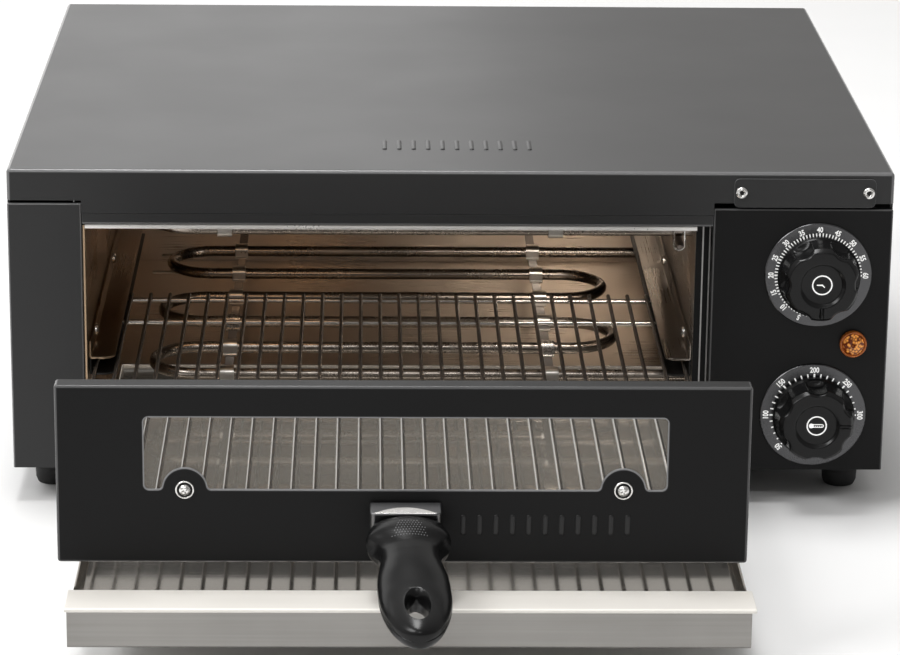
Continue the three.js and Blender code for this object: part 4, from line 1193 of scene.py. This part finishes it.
def handle_section(t, inner, outer, crown, edge, depth, boxy, groove):
    """One ring of the handle: a crowned top, a crease and parting groove each side, a fuller underside."""
    steps = 28
    drop = (outer - inner) * 1.1
    ring = []
    for k in range(steps + 1):
        a = math.pi * k / steps
        height = (crown - edge) * math.sin(a) ** boxy
        ring.append((inner * math.cos(a), -t, edge + 0.35 * groove + height))
    ring.append((-inner + 0.7 * groove, -t, edge))
    for k in range(steps + 1):
        a = math.pi * k / steps
        x = -math.copysign(abs(math.cos(a)) ** 0.8, math.cos(a))
        height = (depth + edge - drop) * math.sin(a) ** 0.85
        ring.append((outer * x, -t, edge - drop - 0.35 * groove - height))
    ring.append((inner - 0.7 * groove, -t, edge))
    return ring


def between(rows, t):
    """Values of a table at t, eased through its neighbours."""
    i = max(k for k in range(len(rows) - 1) if rows[k][0] <= t)
    before, a, b, after = (rows[max(0, min(len(rows) - 1, i + k))] for k in (-1, 0, 1, 2))
    u = (t - a[0]) / (b[0] - a[0])
    values = []
    for p, q, r, s in zip(before[1:], a[1:], b[1:], after[1:]):
        values.append(q + 0.5 * u * (r - p + u * (2 * p - 5 * q + 4 * r - s + u * (3 * (q - r) + s - p))))
    return values


def handle_place(lean):
    """Drawn in the handle's own frame: across, back towards the door, and up."""
    bracket = Cad("handle_bracket")
    turn = turned(lean) @ turned(HANDLE_DROOP, "X")
    return at(bracket.x, door.y0, bracket.z1 - 8, turn)


def make_handle():
    rings = []
    last = GUARD[-1][0]
    for i in range(61):
        t = last * i / 60
        shape = between(GUARD, min(t, last - 1e-6))
        rings.append(handle_section(t, *shape, min(1, max(0, t - 20) / 6)))
    end = HANDLE_END
    begin = math.asin((last - end["from"]) / end["length"])
    for i in range(1, 41):
        a = begin + (math.pi / 2 - 0.02 - begin) * (i / 40) ** 0.85
        t = end["from"] + end["length"] * math.sin(a)
        width = end["width"] * math.cos(a)
        high = end["height"] * math.cos(a) ** 0.45
        rings.append(handle_section(t, width, width, high, 0, high, 1, min(1.0, math.cos(a) * 3)))
    grip = loft(rings)
    bmesh.ops.remove_doubles(grip, verts=grip.verts, dist=0.002)
    grip = eased(cut(grip, eye_cutter()), 0.25, 2, 48)
    place = handle_place(HANDLE_LEAN) @ Matrix.Translation((0, -12, 0))
    grip.transform(place)
    piece("handle_grip", grip, DRAWER, "phenolic", "door_handle", smooth=42)
    make_dots(place)


def make_dots(place):
    """A half-moon of small raised dots behind the thumb's place."""
    widest, pitch, step, count, low = 8.4, 1.4, 1.8, 7, 15.8
    dots = []
    for row in range(count):
        t = low - row * step
        half = widest * math.sqrt(1 - (row / count) ** 2)
        inner, _, crown, edge, _, boxy = between(GUARD, t)
        reach = int(half / pitch)
        for k in range(-reach, reach + 1):
            x = (k + 0.5 * (row % 2)) * pitch
            z = edge + (crown - edge) * (1 - (x / inner) ** 2) ** (boxy / 2)
            dots.append(lathe([(0, 0.3), (0.2, 0.22), (0.33, -0.1), (0, -0.2)], 6, at(x, -t, z, UPWARD)))
    patch = together(*dots)
    patch.transform(place)
    piece("handle_dots", patch, DRAWER, "grip_dots", smooth=60)


def eye_cutter():
    """The hanging eye: a long hole with rounded lips, relieved below on the side of the door."""
    along, wide, long = 72, 5.2, 9.6
    rings = []
    for k in range(-14, 15):
        z = 14 * k / 14
        flare = max(0.0, abs(z) - 3.5) ** 2
        relief = 0.4 * max(0.0, 1 - z)
        ring = []
        for p in circle(0, 0, 1, 56):
            y = (long + 0.13 * flare) * p.y
            y += relief * max(0.0, p.y)
            ring.append(((wide + 0.07 * flare) * p.x, y - along, z))
        rings.append(ring)
    return loft(rings)


def make_handle_bracket():
    """A folded steel cap with rounded front corners, and the bright arc of its cut edge."""
    box = Cad("handle_bracket")
    place = handle_place(0)
    half = (box.x1 - box.x0) / 2
    plan = outline((-half, 0.5), (half, 0.5), (half, -10.4, 3), (-half, -10.4, 3))
    cap = prism(plan, -10, 9.4)
    cap.transform(place)
    behind = prism(rectangle(-60, 60, -60, 60, 0), -30, 0.15, at(box.x, door.y0, box.z))
    cap = cut(cap, behind)
    piece("handle_cap", eased(cap, 0.9, 3, 50), DRAWER, "handle_steel", "handle_bracket")
    reach = 15.2
    upper, lower = [], []
    for k in range(21):
        u = -1 + 2 * k / 20
        upper.append(Vector((reach * u, -4.9 - 5.1 * u * u)))
        lower.append(Vector((reach * u, -10.1)))
    crescent = prism(upper + lower[::-1][1:-1], 9.3, 9.75)
    crescent.transform(place)
    piece("handle_crescent", eased(crescent, 0.12, 1, 50), DRAWER, "bright_steel")


# ---- crumb tray ----

def make_tray():
    """The crumb tray: a shallow basin, a brushed front and the pale lip along its top."""
    face, pan = Cad("tray_front"), Cad("tray_pan")
    t = SHEET / 2
    top = face.z1 - t
    path = outline((face.y0 + 9, face.z0 + t), (face.y0 + 1.1, face.z0 + t), (face.y0 + 1.1, top - 1.0),
                   radius=1.2, closed=False)
    bm = prism(strip(path, SHEET), face.x0 + 1.0, face.x1 - 2.2, SIDEWAYS)
    piece("tray_fascia", eased(bm, 0.3), TRAY, "tray_steel", "tray_front")
    lip = outline((face.y0 + 0.5, top - 1.4), (face.y0 + 0.5, top), (face.y1, top), radius=0.8, closed=False)
    bm = eased(prism(strip(lip, 1.0), face.x0, face.x1, SIDEWAYS), 0.3, 3, 50)
    piece("tray_lip", bm, TRAY, "tray_lip")
    x0, x1, y0, y1, z0, z1 = pan.x0, pan.x1, pan.y0, pan.y1, pan.z0, pan.z1
    polygons = [
        [(x0, y0, z0), (x1, y0, z0), (x1, y1, z0), (x0, y1, z0)],
        [(x0, y0, z0), (x0, y0, z1), (x0, y1, z1), (x0, y1, z0)],
        [(x1, y0, z0), (x1, y0, z1), (x1, y1, z1), (x1, y1, z0)],
        [(x0, y1, z0), (x1, y1, z0), (x1, y1, z1), (x0, y1, z1)],
    ]
    basin = folded_sheet(polygons, (0, 0, -1), 1.6, 1.0)
    piece("tray_basin", basin, TRAY, "tray_pan", "tray_pan")


# ---- CAD nodes that stay ----

def finish_kept_nodes():
    """Gives each CAD node that still shows its finish and eased edges."""
    finishes = {
        "liner_left": "liner_warm", "liner_right": "liner_y", "liner_back": "liner_x",
        "liner_floor": "liner_x", "base_pan": "panel_paint", "pilot_body": "control_case",
    }
    for name in ("timer", "thermostat"):
        finishes[f"{name}_body"] = "control_case"
        finishes[f"{name}_shaft"] = "bright_steel"
    for level in ("lower", "upper"):
        for row in ("front", "rear"):
            finishes[f"{level}_terminal_{row}"] = "ceramic"
    for node, finish in finishes.items():
        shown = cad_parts[node]
        shown.data.materials.clear()
        shown.data.materials.append(LOOKS[finish])
        ease = shown.modifiers.new("eased", "BEVEL")
        ease.width = 0.25 * MM
        ease.segments = 2
        ease.limit_method = "ANGLE"
        ease.angle_limit = math.radians(50)


make_cover()
make_beads("cover_beads", 20, (cover.x + 4, FRONT + 56, cover.z1 - 0.02), UPWARD, BODY)
make_front_panels()
make_header()
make_badge()
make_feet()
make_rear_panel()
make_ceiling()
make_rails()
make_trim()
for level in ("lower", "upper"):
    make_element(level)
    for side in ("left", "right"):
        make_clips(level, side)
make_rests()
make_bulb()

make_timer_scale()
make_thermostat_scale()
make_knob("timer", 270)
make_knob("thermostat", 0)
make_icons()
make_pilot()
make_switch()

make_door()
make_beads("door_beads", 10.5, (door.x + 69, door.y0 + 0.02, 75.5), FORWARD, DRAWER)
make_shelf()
make_rack()
make_handle_bracket()
make_handle()
make_tray()
finish_kept_nodes()

scene.view_settings.view_transform = "Standard"
